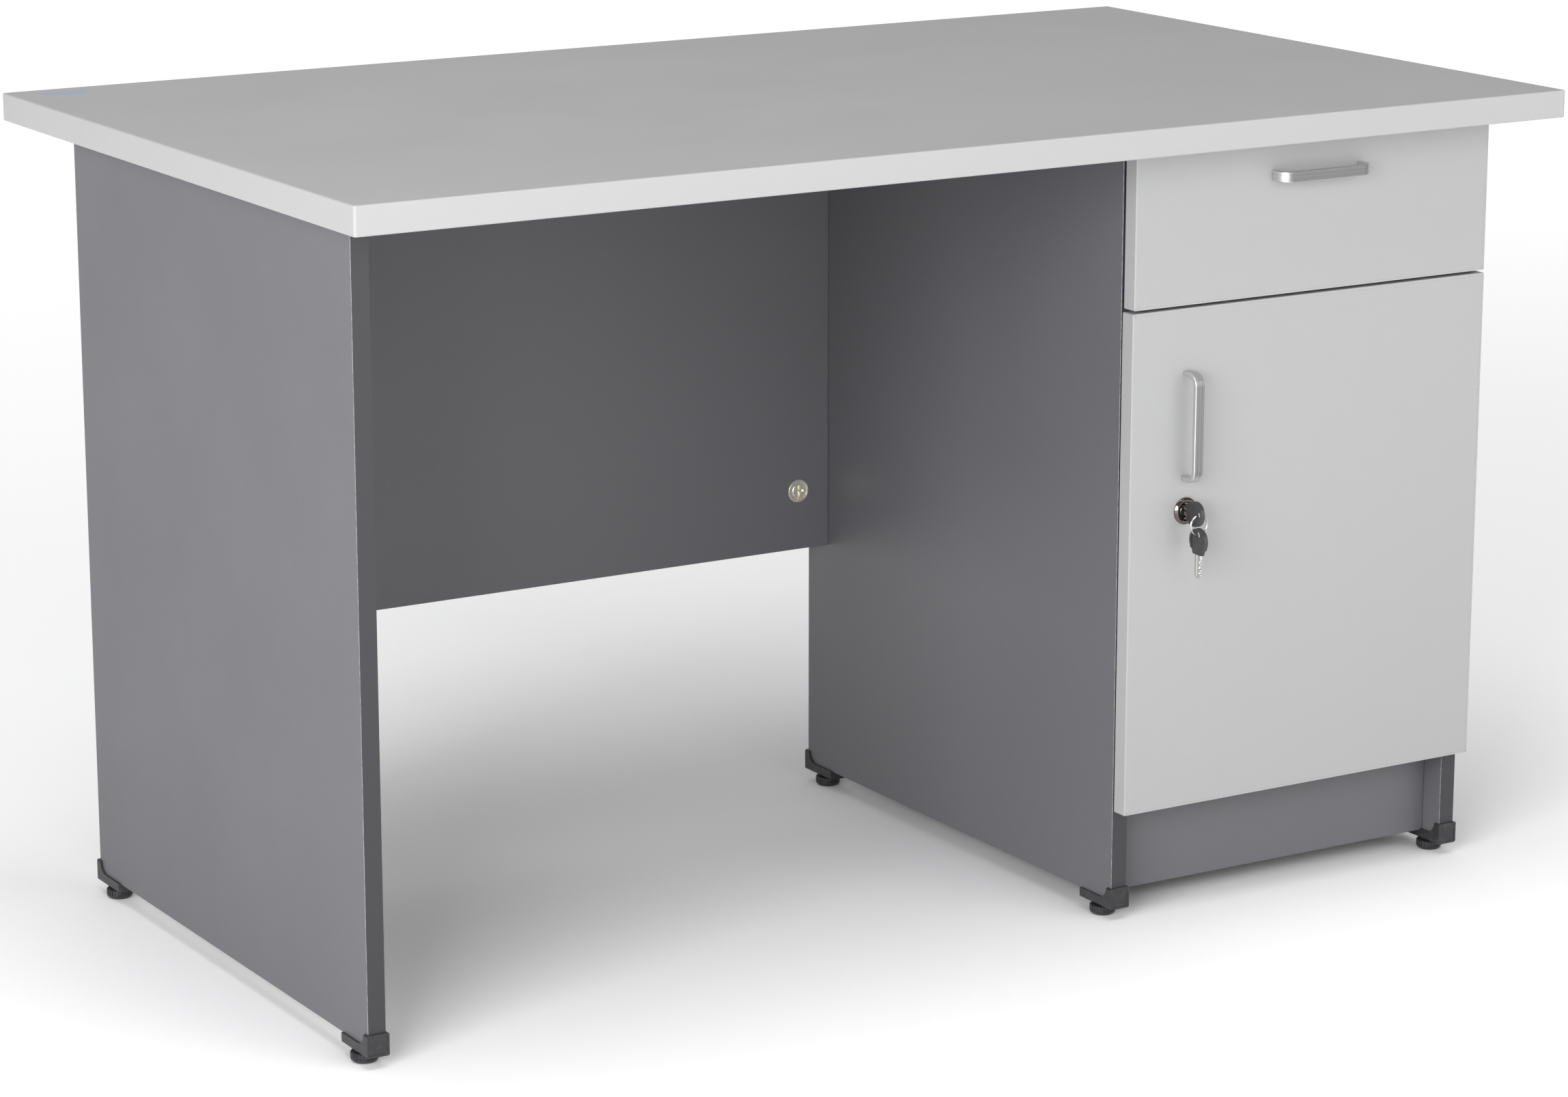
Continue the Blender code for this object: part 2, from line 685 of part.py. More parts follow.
def concealed_hinge(level, z):
    bore = cylinder(
        f"door_cup_bore_{level}",
        (CUP_X, FRONTS_BACK, z),
        CUP_RADIUS + FIT,
        2 * (CUP_DEPTH + FIT),
        FACING_REAR,
        sides=32,
    )
    bore.parent = door_axis
    bore.location -= door_axis.location
    cut(door, bore)
    inner = CUP_RADIUS - CUP_WALL
    profile = [
        (inner, FLANGE_THICK),
        (CUP_FLANGE, FLANGE_THICK),
        (CUP_FLANGE, FIT),
        (CUP_RADIUS, FIT),
        (CUP_RADIUS, -CUP_DEPTH),
        (0.0, -CUP_DEPTH),
        (0.0, -CUP_DEPTH + CUP_WALL),
        (inner, -CUP_DEPTH + CUP_WALL),
    ]
    cup = turned(
        f"hinge_cup_{level}",
        profile,
        (CUP_X, FRONTS_BACK, z),
        FACING_REAR,
        STEEL,
        door_axis,
        closed=True,
        steps=32,
    )
    wing = box(
        f"hinge_wing_{level}",
        (CUP_X - WING_OUT, FRONTS_BACK + FIT + WING_SKIN, z - WING_HALF),
        (CUP_X + WING_IN, FRONTS_BACK + FLANGE_THICK - WING_SKIN, z + WING_HALF),
    )
    opening = cylinder(
        f"hinge_opening_{level}",
        (CUP_X, FRONTS_BACK, z),
        inner + CUP_WALL / 2,
        4 * FLANGE_THICK,
        FACING_REAR,
        sides=32,
    )
    cut(wing, opening)
    for cutter in (wing, opening):
        cutter.parent = door_axis
        cutter.location -= door_axis.location
    cut(cup, wing, "UNION")

    outline = [
        (ARM_FAR, ARM_HEEL),
        (ARM_FAR, ARM_CRANK),
        (ARM_FAR + 0.002, ARM_NOSE + NOSE_TAPER),
        (ARM_FAR + 0.005, ARM_NOSE),
        (ARM_NEAR + 0.001, ARM_NOSE),
        (ARM_NEAR + 0.002, ARM_NOSE + NOSE_TAPER),
        (ARM_NEAR, ARM_CRANK),
        (ARM_NEAR, ARM_HEEL),
    ]
    flat(f"hinge_arm_{level}", [outline], 2 * ARM_HALF, (0.0, 0.0, z), UPRIGHT, STEEL)

    plate = box(
        f"hinge_plate_{level}",
        (RIGHT_INNER - PLATE_THICK, PLATE_FRONT, z - PLATE_HALF),
        (RIGHT_INNER - FIT, PLATE_BACK, z + PLATE_HALF),
        STEEL,
        edge=0,
    )
    block = box(
        f"hinge_block_{level}",
        (ARM_NEAR + FIT, BLOCK_FRONT, z - ARM_HALF),
        (RIGHT_INNER - PLATE_THICK / 2, BLOCK_BACK, z + ARM_HALF),
    )
    cut(plate, block, "UNION")


for level, z in HINGE_HEIGHTS.items():
    concealed_hinge(level, z)


# Cam lock through the door
LOCK_Z = 0.381
LOCK_AT = (DOOR_HANDLE_X, FRONTS_FACE, LOCK_Z)
ROSETTE_RADIUS = 0.0123
ROSETTE_PROUD = 0.0033
ROSETTE_DISH = 0.0004
ROSETTE_LIP = 0.0085
ROSETTE_CROWN = 0.0100
ROSETTE_EDGE = 0.0012
BARREL_RADIUS = 0.0090
PLUG_RADIUS = 0.0060
TAIL_RADIUS = 0.0035
BARREL_BACK = 0.0257
PLUG_SUNK = 0.0010
TAIL_LENGTH = 0.0050
CAM_THICK = 0.0020
CAM_CHAMFER = 0.0020
CAM_REACH = 0.0387
CAM_HALF = 0.0070

lock_axis = joint_empty("lock_axis", LOCK_AT)
door_lock_bore = cylinder(
    "door_lock_bore", LOCK_AT, BARREL_RADIUS + FIT, 4 * BOARD, FACING_FRONT, sides=32
)
door_lock_bore.parent = door_axis
door_lock_bore.location -= door_axis.location
cut(door, door_lock_bore)

housing_profile = [
    (PLUG_RADIUS + FIT, ROSETTE_PROUD - ROSETTE_DISH),
    (ROSETTE_LIP, ROSETTE_PROUD),
    (ROSETTE_CROWN, ROSETTE_PROUD),
    (ROSETTE_RADIUS, ROSETTE_EDGE),
    (ROSETTE_RADIUS, FIT),
    (BARREL_RADIUS, FIT),
    (BARREL_RADIUS, -BARREL_BACK),
    (PLUG_RADIUS + FIT, -BARREL_BACK),
]
turned(
    "lock_housing", housing_profile, LOCK_AT, FACING_FRONT, CHROME, door_axis, closed=True, steps=32
)
NUT_RADIUS = 0.0135
NUT_THICK = 0.0030
nut_hole = arc((0.0, 0.0), BARREL_RADIUS + 2 * FIT, 0, 345, 23)
flat(
    "lock_nut",
    [arc((0.0, 0.0), NUT_RADIUS, 0, 300, 5), nut_hole],
    NUT_THICK,
    (DOOR_HANDLE_X, FRONTS_BACK + FIT + NUT_THICK / 2, LOCK_Z),
    FACING_FRONT,
    ZINC,
    door_axis,
)

plug_profile = [
    (0.0, ROSETTE_PROUD - PLUG_SUNK),
    (PLUG_RADIUS, ROSETTE_PROUD - PLUG_SUNK),
    (PLUG_RADIUS, -BARREL_BACK),
    (TAIL_RADIUS, -BARREL_BACK),
    (TAIL_RADIUS, -BARREL_BACK - TAIL_LENGTH),
    (0.0, -BARREL_BACK - TAIL_LENGTH),
]
plug = turned("lock_plug", plug_profile, LOCK_AT, FACING_FRONT, CHROME, lock_axis)
BLADE_HALF = 0.0042
BLADE_THICK = 0.0018
KEYWAY_BACK = 0.0220
keyway = box(
    "lock_keyway",
    (DOOR_HANDLE_X - BLADE_THICK / 2 - FIT, FRONTS_FACE - 2 * ROSETTE_PROUD, LOCK_Z - BLADE_HALF - FIT),
    (DOOR_HANDLE_X + BLADE_THICK / 2 + FIT, FRONTS_FACE + KEYWAY_BACK, LOCK_Z + BLADE_HALF + FIT),
)
cut(plug, keyway)

# The cam hangs down while the lock is open, and swings behind the strike to lock
cam_hole = arc((0.0, 0.0), TAIL_RADIUS + FIT, 0, 330, 11)
cam_outline = [
    *arc((0.0, 0.0), CAM_HALF, 0, 180, 8),
    (-CAM_HALF, -CAM_REACH + CAM_CHAMFER),
    (-CAM_HALF + CAM_CHAMFER, -CAM_REACH),
    (CAM_HALF - CAM_CHAMFER, -CAM_REACH),
    (CAM_HALF, -CAM_REACH + CAM_CHAMFER),
]
CAM_Y = FRONTS_FACE + BARREL_BACK + FIT + CAM_THICK / 2
flat(
    "lock_cam",
    [cam_outline, cam_hole],
    CAM_THICK,
    (DOOR_HANDLE_X, CAM_Y, LOCK_Z),
    FACING_FRONT,
    ZINC,
    lock_axis,
)

STRIKE_STEEL = 0.0015
STRIKE_FRONT = -0.2755
STRIKE_LIP = 0.0160
STRIKE_RUN = 0.0235
STRIKE_HEIGHT = 0.030
strike_outline = [
    (FIT, STRIKE_FRONT),
    (STRIKE_LIP, STRIKE_FRONT),
    (STRIKE_LIP, STRIKE_FRONT + STRIKE_STEEL),
    (FIT + STRIKE_STEEL, STRIKE_FRONT + STRIKE_STEEL),
    (FIT + STRIKE_STEEL, STRIKE_FRONT + STRIKE_RUN),
    (FIT, STRIKE_FRONT + STRIKE_RUN),
]
flat(
    "lock_strike",
    [strike_outline],
    STRIKE_HEIGHT,
    (PEDESTAL_INNER, 0.0, LOCK_Z),
    UPRIGHT,
    STEEL,
)


# Keys. An outline's X runs from the head's end towards the blade's tip.
HEAD_LENGTH = 0.0240
HEAD_HALF = 0.0115
HEAD_NECK = 0.0080
SHOULDER_IN = 0.0050
SHOULDER_DROP = 0.0010
HEAD_THICK = 0.0040
KEY_HOLE_IN = 0.0060
KEY_HOLE_RADIUS = 0.0030
BLADE_LENGTH = 0.0220
BLADE_TIP = 0.0030
FIRST_BITE = 0.0060
BITE_PITCH = 0.0050
BITE_HALF = 0.0016


def key_head_outline():
    """A round end that draws in to a neck."""
    crown = arc((HEAD_HALF, 0.0), HEAD_HALF, 90, 270, 12)
    return [
        *crown,
        (HEAD_LENGTH - SHOULDER_IN, -HEAD_NECK - SHOULDER_DROP),
        (HEAD_LENGTH, -HEAD_NECK + SHOULDER_DROP),
        (HEAD_LENGTH, HEAD_NECK - SHOULDER_DROP),
        (HEAD_LENGTH - SHOULDER_IN, HEAD_NECK + SHOULDER_DROP),
    ]


def key_blade_outline():
    """A straight back, a pointed tip and shallow bites."""
    start, tip = HEAD_LENGTH + FIT, HEAD_LENGTH + BLADE_LENGTH
    lower = [(start, -BLADE_HALF)]
    for number, depth in enumerate((0.0012, 0.0018, 0.0012)):
        x = start + FIRST_BITE + BITE_PITCH * number
        lower += [
            (x - BITE_HALF, -BLADE_HALF),
            (x, -BLADE_HALF + depth),
            (x + BITE_HALF, -BLADE_HALF),
        ]
    point = [(tip - BLADE_TIP, -BLADE_HALF), (tip, 0.0), (tip - BLADE_TIP, BLADE_HALF)]
    return [*lower, *point, (start, BLADE_HALF)]


def key(prefix, head_end, turned_down, holder):
    """A plastic head and a nickel blade. The blade points to +Y, or down when turned_down."""

    def lay(points):
        return [(v, -u) for u, v in points] if turned_down else points

    hole = arc((KEY_HOLE_IN, 0.0), KEY_HOLE_RADIUS, 0, 330, 11)
    flat(
        f"{prefix}_head",
        [lay(key_head_outline()), lay(hole)],
        HEAD_THICK,
        head_end,
        SIDE_ON,
        BLACK_PLASTIC,
        holder,
    )
    blade = lay(key_blade_outline())
    flat(f"{prefix}_blade", [blade], BLADE_THICK, head_end, SIDE_ON, NICKEL, holder)


HEAD_END_Y = FRONTS_FACE - ROSETTE_PROUD - FIT - HEAD_LENGTH
key("key", (DOOR_HANDLE_X, HEAD_END_Y, LOCK_Z), False, lock_axis)

RING_RADIUS = 0.0090
RING_WIRE = 0.0006
HOLE_Y = HEAD_END_Y + KEY_HOLE_IN
ring_axis = joint_empty("key_ring_axis", (DOOR_HANDLE_X, HOLE_Y, LOCK_Z))
ring_centre = (DOOR_HANDLE_X, HOLE_Y, LOCK_Z - RING_RADIUS)
bpy.ops.mesh.primitive_torus_add(
    major_radius=RING_RADIUS, minor_radius=RING_WIRE, major_segments=32, minor_segments=8
)
ring = bpy.context.object
ring.name = "key_ring"
for home in list(ring.users_collection):
    home.objects.unlink(ring)
settle(ring, NICKEL, ring_centre, ring_axis, FACING_FRONT)

spare_axis = joint_empty("spare_key_axis", ring_centre)
spare_end = (DOOR_HANDLE_X, HOLE_Y, LOCK_Z - 2 * RING_RADIUS + KEY_HOLE_IN)
key("spare_key", spare_end, True, spare_axis)
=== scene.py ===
# %% [markdown]
# # A writing desk with a drawer and a cupboard
#
# The frame is the finished design: boards, hinges, runners, lock and feet, each where it belongs.
# This file gives the desk its looks. Boards get their edge bands, fittings get their real shapes,
# and every surface gets a procedural finish. It ends with a pale floor, soft lights and a camera.
# It runs from top to bottom, and each step says what the piece is and why it is made that way.

import math

import bmesh
import bpy
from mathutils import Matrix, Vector


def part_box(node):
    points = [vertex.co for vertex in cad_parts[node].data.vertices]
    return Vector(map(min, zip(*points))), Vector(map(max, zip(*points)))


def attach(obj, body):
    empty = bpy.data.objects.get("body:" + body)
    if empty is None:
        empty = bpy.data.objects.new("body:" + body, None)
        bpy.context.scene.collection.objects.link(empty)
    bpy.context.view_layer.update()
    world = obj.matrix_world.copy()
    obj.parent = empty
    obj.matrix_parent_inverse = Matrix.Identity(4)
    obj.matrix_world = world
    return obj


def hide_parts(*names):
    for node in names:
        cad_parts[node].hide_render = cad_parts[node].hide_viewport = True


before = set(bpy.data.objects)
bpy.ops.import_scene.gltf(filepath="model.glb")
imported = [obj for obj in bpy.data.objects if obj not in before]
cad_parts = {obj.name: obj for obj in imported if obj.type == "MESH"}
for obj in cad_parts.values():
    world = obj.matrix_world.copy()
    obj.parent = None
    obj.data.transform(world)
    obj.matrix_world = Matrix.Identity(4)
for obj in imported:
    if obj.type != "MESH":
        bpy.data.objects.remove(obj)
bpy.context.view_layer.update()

# %% [markdown]
# ## Working by hand, in code
#
# Each new piece starts as a primitive and is shaped in edit mode, as with the mouse. Operators act
# on whatever is selected, so these helpers first clear the selection, then pick by place.
# `place` comes last: it gives the finish, the body that carries the piece, and what it stands for.

# %% Selecting and editing
def clear():
    """Object mode with nothing selected."""
    if bpy.context.object and bpy.context.object.mode != "OBJECT":
        bpy.ops.object.mode_set(mode="OBJECT")
    bpy.ops.object.select_all(action="DESELECT")


def hold(piece):
    """Selects one piece and nothing else."""
    clear()
    piece.select_set(True)
    bpy.context.view_layer.objects.active = piece
    return piece


def edit(piece):
    """Edit mode on one piece."""
    hold(piece)
    bpy.ops.object.mode_set(mode="EDIT")


def pick(kind, test):
    """In edit mode, selects the elements that pass a test of their middle and their direction."""
    bpy.ops.mesh.select_mode(type=kind)
    bpy.ops.mesh.select_all(action="DESELECT")
    mesh = bpy.context.object.data
    shape = bmesh.from_edit_mesh(mesh)
    if kind == "FACE":
        for face in shape.faces:
            face.select_set(test(face.calc_center_median(), face.normal))
    elif kind == "EDGE":
        for edge in shape.edges:
            start, end = (vert.co for vert in edge.verts)
            if test((start + end) / 2, (end - start).normalized()):
                edge.select_set(True)
    else:
        for vert in shape.verts:
            vert.select_set(test(vert.co, vert.normal))
    shape.select_flush_mode()
    bmesh.update_edit_mesh(mesh)


def pick_all():
    """In edit mode, selects everything."""
    bpy.ops.mesh.select_all(action="SELECT")


# %% Starting shapes
TURNS = {"X": (0, math.pi / 2, 0), "Y": (math.pi / 2, 0, 0), "Z": (0, 0, 0)}


def centre_of(name):
    """The middle of a frame piece's box."""
    low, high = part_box(name)
    return (low + high) / 2


def settle(name):
    """Names the new primitive and puts its place into its mesh."""
    piece = bpy.context.object
    piece.name = piece.data.name = name
    bpy.ops.object.transform_apply(location=True, rotation=True, scale=True)
    return piece


def block(name, low, high):
    """A cube between two corners."""
    clear()
    low, high = Vector(low), Vector(high)
    bpy.ops.mesh.primitive_cube_add(size=1.0, location=(low + high) / 2)
    bpy.context.object.scale = high - low
    return settle(name)


def rod(name, centre, radius, length, axis, sides=32, tip=None):
    """A cylinder along an axis, or a cone when tip gives the other end's radius."""
    clear()
    bpy.ops.mesh.primitive_cone_add(
        vertices=sides,
        radius1=radius,
        radius2=radius if tip is None else tip,
        depth=length,
        location=centre,
        rotation=TURNS[axis],
    )
    return settle(name)


# %% Shaping and finishing
def apply(piece, kind, **settings):
    """Adds a modifier with these settings, and applies it."""
    hold(piece)
    modifier = piece.modifiers.new(kind.lower(), kind)
    for setting, value in settings.items():
        setattr(modifier, setting, value)
    bpy.ops.object.modifier_apply(modifier=modifier.name)
    return piece


def carve(piece, cutter, operation="DIFFERENCE"):
    """Cuts a piece with another one, or joins them, and removes the other one."""
    apply(piece, "BOOLEAN", object=cutter, operation=operation, solver="EXACT")
    bpy.data.objects.remove(cutter)
    return piece


def round_edges(piece, width, segments=2, angle=35):
    """Rounds every edge that turns by more than the angle."""
    limit = math.radians(angle)
    return apply(
        piece, "BEVEL", width=width, segments=segments, limit_method="ANGLE", angle_limit=limit
    )


def round_corners(piece, axis, width, segments):
    """Rounds the edges that run along one axis, given by its index."""
    edit(piece)
    pick("EDGE", lambda middle, way: abs(way[axis]) > 0.9)
    bpy.ops.mesh.bevel(offset=width, segments=segments, affect="EDGES")
    clear()
    return piece


def tidy(piece):
    """Merges doubled points and turns every face outwards."""
    edit(piece)
    pick_all()
    bpy.ops.mesh.remove_doubles(threshold=0.000002)
    bpy.ops.mesh.normals_make_consistent(inside=False)
    clear()
    return piece


def copy(piece, name, shift=(0, 0, 0)):
    """A copy with its own mesh, moved."""
    twin = piece.copy()
    twin.data = piece.data.copy()
    twin.name = twin.data.name = name
    bpy.context.scene.collection.objects.link(twin)
    hold(twin)
    bpy.ops.transform.translate(value=shift)
    bpy.ops.object.transform_apply(location=True, rotation=True, scale=True)
    return twin


def set_down(piece, at=(0, 0, 0), turn=(0, 0, 0)):
    """Turns a piece about the origin, moves it there, and puts both into its mesh."""
    hold(piece)
    piece.rotation_euler = turn
    piece.location = at
    bpy.ops.object.transform_apply(location=True, rotation=True, scale=True)
    return piece


def join(name, pieces):
    """One piece from several that stay separate solids."""
    clear()
    for piece in pieces:
        piece.select_set(True)
    bpy.context.view_layer.objects.active = pieces[0]
    bpy.ops.object.join()
    pieces[0].name = pieces[0].data.name = name
    return pieces[0]


def place(piece, body, finish, slot, *nodes, smooth=35):
    """Smooths and paints a piece, sets it on its body and hides the nodes it stands for."""
    hold(piece)
    bpy.ops.object.shade_smooth_by_angle(angle=math.radians(smooth))
    apply(piece, "WEIGHTED_NORMAL", keep_sharp=True)
    piece.data.materials.clear()
    piece.data.materials.append(finish)
    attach(piece, body)
    if nodes:
        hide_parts(*nodes)
    shape = bmesh.new()
    shape.from_mesh(piece.data)
    open_edges = sum(not edge.is_manifold for edge in shape.edges)
    print(f"{piece.name}: {len(shape.faces)} faces, {open_edges} open edges, on {body}")
    shape.free()
    return piece


# %% [markdown]
# ## Finishes
#
# Every finish is a Principled shader fed by small node groups. Four effects come back again and
# again, so each is one group with named inputs: the mottled grain of a pressed laminate, the fine
# dust that lies on it, the drawn lines of metal, and the pebbled skin of moulded plastic. They read
# Object coordinates in metres, so their scale is real and stays the same on every piece.

# %% Node helpers
def new_group(name, inputs, outputs):
    """A shader node group with named sockets. Each input is (name, socket kind, value)."""
    group = bpy.data.node_groups.new(name, "ShaderNodeTree")
    for label, kind, value in inputs:
        socket = group.interface.new_socket(name=label, in_out="INPUT", socket_type=kind)
        if value is not None:
            socket.default_value = value
    for label, kind in outputs:
        group.interface.new_socket(name=label, in_out="OUTPUT", socket_type=kind)
    return group, group.nodes.new("NodeGroupInput"), group.nodes.new("NodeGroupOutput")


def node(tree, kind, links=(), **settings):
    """Adds a node. links are (its input, the output that feeds it or a plain value)."""
    made = tree.nodes.new(kind)
    for setting, value in settings.items():
        setattr(made, setting, value)
    for socket, source in links:
        if isinstance(source, bpy.types.NodeSocket):
            tree.links.new(source, made.inputs[socket])
        else:
            made.inputs[socket].default_value = source
    return made


def noise(tree, vector, scale, detail=2.0, roughness=0.5):
    """Soft noise between 0 and 1. A larger scale makes it finer."""
    links = [("Vector", vector), ("Scale", scale), ("Detail", detail), ("Roughness", roughness)]
    return node(tree, "ShaderNodeTexNoise", links).outputs["Fac"]


def span(tree, value, low, high, to_low=0.0, to_high=1.0):
    """Stretches a value from one range to another, and clamps it."""
    sockets = ("Value", "From Min", "From Max", "To Min", "To Max")
    links = zip(sockets, (value, low, high, to_low, to_high))
    return node(tree, "ShaderNodeMapRange", links).outputs["Result"]


def mix(tree, factor, first, second):
    """Mixes two colours. The Mix node keeps its colour sockets at 6 and 7, and its result at 2."""
    links = [(0, factor), (6, first), (7, second)]
    return node(tree, "ShaderNodeMix", links, data_type="RGBA").outputs[2]


def maths(tree, operation, first, second=0.0):
    """One step of arithmetic."""
    return node(tree, "ShaderNodeMath", [(0, first), (1, second)], operation=operation).outputs[0]


# %% Laminate grain: a printed mottle, with the press plate's fine pebble
SURFACE = [
    ("Colour", "NodeSocketColor"),
    ("Roughness", "NodeSocketFloat"),
    ("Height", "NodeSocketFloat"),
]
CLOUD_SCALE, SPECK_SCALE = 7.0, 2600.0
CLOUD_SHARE, SPECK_SHARE, AVERAGE = 0.5, 0.8, 1.15
HANDLED_SPREAD = 0.25
laminate_grain, given, made = new_group(
    "laminate_grain",
    [
        ("Vector", "NodeSocketVector", None),
        ("Colour", "NodeSocketColor", (0.5, 0.5, 0.5, 1)),
        ("Mottle", "NodeSocketFloat", 0.05),
        ("Pebble Scale", "NodeSocketFloat", 900.0),
        ("Roughness", "NodeSocketFloat", 0.45),
    ],
    SURFACE,
)
pebble = noise(laminate_grain, given.outputs["Vector"], given.outputs["Pebble Scale"], 3.0)
cloud = noise(laminate_grain, given.outputs["Vector"], CLOUD_SCALE, 3.0)
speck = noise(laminate_grain, given.outputs["Vector"], SPECK_SCALE, 1.0)
amount = given.outputs["Mottle"]
uneven = maths(laminate_grain, "ADD", maths(laminate_grain, "MULTIPLY", cloud, CLOUD_SHARE), pebble)
speck = maths(laminate_grain, "MULTIPLY", speck, SPECK_SHARE)
uneven = maths(laminate_grain, "ADD", uneven, speck)
uneven = maths(laminate_grain, "SUBTRACT", uneven, AVERAGE)
tone = maths(laminate_grain, "ADD", maths(laminate_grain, "MULTIPLY", uneven, amount), 1.0)
plain = [(0, given.outputs["Colour"]), ("Scale", tone)]
toned = node(laminate_grain, "ShaderNodeVectorMath", plain, operation="SCALE")
laminate_grain.links.new(toned.outputs[0], made.inputs["Colour"])
handled = maths(laminate_grain, "SUBTRACT", cloud, 0.5)
handled = maths(laminate_grain, "MULTIPLY", handled, HANDLED_SPREAD)
laminate_grain.links.new(
    maths(laminate_grain, "ADD", given.outputs["Roughness"], handled), made.inputs["Roughness"]
)
laminate_grain.links.new(pebble, made.inputs["Height"])
print("group:", laminate_grain.name)

# %% Dust: a few pale specks, thicker in soft patches
RAGGED_SCALE, RAGGED_DEPTH = 2400.0, 0.12
PATCH_SCALE, PATCH_EDGE = 9.0, (0.42, 0.66)
dust, given, made = new_group(
    "dust",
    [
        ("Vector", "NodeSocketVector", None),
        ("Colour", "NodeSocketColor", (0.5, 0.5, 0.5, 1)),
        ("Dust Colour", "NodeSocketColor", (0.6, 0.6, 0.6, 1)),
        ("Specks per Metre", "NodeSocketFloat", 120.0),
        ("Speck Size", "NodeSocketFloat", 0.06),
        ("Amount", "NodeSocketFloat", 0.5),
    ],
    [("Colour", "NodeSocketColor"), ("Mask", "NodeSocketFloat")],
)
cells = node(dust, "ShaderNodeTexVoronoi", [("Vector", given.outputs["Vector"])])
dust.links.new(given.outputs["Specks per Metre"], cells.inputs["Scale"])
ragged = maths(dust, "SUBTRACT", noise(dust, given.outputs["Vector"], RAGGED_SCALE), 0.5)
ragged = maths(dust, "MULTIPLY", ragged, RAGGED_DEPTH)
ragged = maths(dust, "ADD", cells.outputs["Distance"], ragged)
near = maths(dust, "LESS_THAN", ragged, given.outputs["Speck Size"])
patch = span(dust, noise(dust, given.outputs["Vector"], PATCH_SCALE), *PATCH_EDGE)
mask = maths(dust, "MULTIPLY", maths(dust, "MULTIPLY", near, patch), given.outputs["Amount"])
dust.links.new(
    mix(dust, mask, given.outputs["Colour"], given.outputs["Dust Colour"]), made.inputs["Colour"]
)
dust.links.new(mask, made.inputs["Mask"])
print("group:", dust.name)

# %% Drawn lines: long fine streaks, from rolling, drawing or brushing metal
drawn_lines, given, made = new_group(
    "drawn_lines",
    [
        ("Vector", "NodeSocketVector", None),
        ("Colour", "NodeSocketColor", (0.7, 0.7, 0.7, 1)),
        ("Contrast", "NodeSocketFloat", 0.1),
        ("Roughness", "NodeSocketFloat", 0.3),
        ("Spread", "NodeSocketFloat", 0.1),
    ],
    SURFACE,
)
streak = noise(drawn_lines, given.outputs["Vector"], 1.0, 4.0, 0.6)
offset = maths(drawn_lines, "SUBTRACT", streak, 0.5)
tone = maths(drawn_lines, "MULTIPLY", offset, given.outputs["Contrast"])
tone = maths(drawn_lines, "ADD", tone, 1.0)
plain = [(0, given.outputs["Colour"]), ("Scale", tone)]
toned = node(drawn_lines, "ShaderNodeVectorMath", plain, operation="SCALE")
drawn_lines.links.new(toned.outputs[0], made.inputs["Colour"])
spread = maths(drawn_lines, "MULTIPLY", offset, given.outputs["Spread"])
drawn_lines.links.new(
    maths(drawn_lines, "ADD", given.outputs["Roughness"], spread), made.inputs["Roughness"]
)
drawn_lines.links.new(streak, made.inputs["Height"])
print("group:", drawn_lines.name)

# %% Pebbled skin: the etched surface of a plastic mould, with a little handling shine
SKIN_SCALE, SCUFF_SCALE = 2200.0, 160.0
SCUFF_EDGE, SHINE_SPREAD = (0.52, 0.75), 0.2
pebbled_skin, given, made = new_group(
    "pebbled_skin",
    [
        ("Vector", "NodeSocketVector", None),
        ("Colour", "NodeSocketColor", (0.03, 0.03, 0.03, 1)),
        ("Scuff Colour", "NodeSocketColor", (0.12, 0.12, 0.12, 1)),
        ("Scuff Amount", "NodeSocketFloat", 0.25),
        ("Roughness", "NodeSocketFloat", 0.5),
    ],
    SURFACE,
)
skin = noise(pebbled_skin, given.outputs["Vector"], SKIN_SCALE)
scuff = noise(pebbled_skin, given.outputs["Vector"], SCUFF_SCALE, 4.0)
scuff = span(pebbled_skin, scuff, *SCUFF_EDGE)
scuff = maths(pebbled_skin, "MULTIPLY", scuff, given.outputs["Scuff Amount"])
pebbled_skin.links.new(
    mix(pebbled_skin, scuff, given.outputs["Colour"], given.outputs["Scuff Colour"]),
    made.inputs["Colour"],
)
shine = maths(pebbled_skin, "SUBTRACT", skin, 0.5)
shine = maths(pebbled_skin, "MULTIPLY", shine, SHINE_SPREAD)
pebbled_skin.links.new(
    maths(pebbled_skin, "ADD", given.outputs["Roughness"], shine), made.inputs["Roughness"]
)
pebbled_skin.links.new(skin, made.inputs["Height"])
print("group:", pebbled_skin.name)


# %% A finish from a group
def finish(name, group, stretch=(1, 1, 1), bump=0.0, metallic=0.0, **inputs):
    """A Principled material fed by a group. bump is how deep its height is, in metres."""
    made = bpy.data.materials.new(name)
    made.use_nodes = True
    tree = made.node_tree
    shader = tree.nodes["Principled BSDF"]
    shader.inputs["Metallic"].default_value = metallic
    seat = node(tree, "ShaderNodeTexCoord").outputs["Object"]
    mapped = node(tree, "ShaderNodeMapping", [("Vector", seat), ("Scale", stretch)]).outputs[0]
    effect = tree.nodes.new("ShaderNodeGroup")
    effect.node_tree = group
    effect.name = "effect"
    tree.links.new(mapped, effect.inputs["Vector"])
    for label, value in inputs.items():
        effect.inputs[label.replace("_", " ")].default_value = value
    tree.links.new(effect.outputs["Colour"], shader.inputs["Base Color"])
    tree.links.new(effect.outputs["Roughness"], shader.inputs["Roughness"])
    if bump:
        relief = node(tree, "ShaderNodeBump", [("Height", effect.outputs["Height"])])
        relief.inputs["Distance"].default_value = bump
        relief.inputs["Strength"].default_value = 1.0
        tree.links.new(relief.outputs["Normal"], shader.inputs["Normal"])
    return made


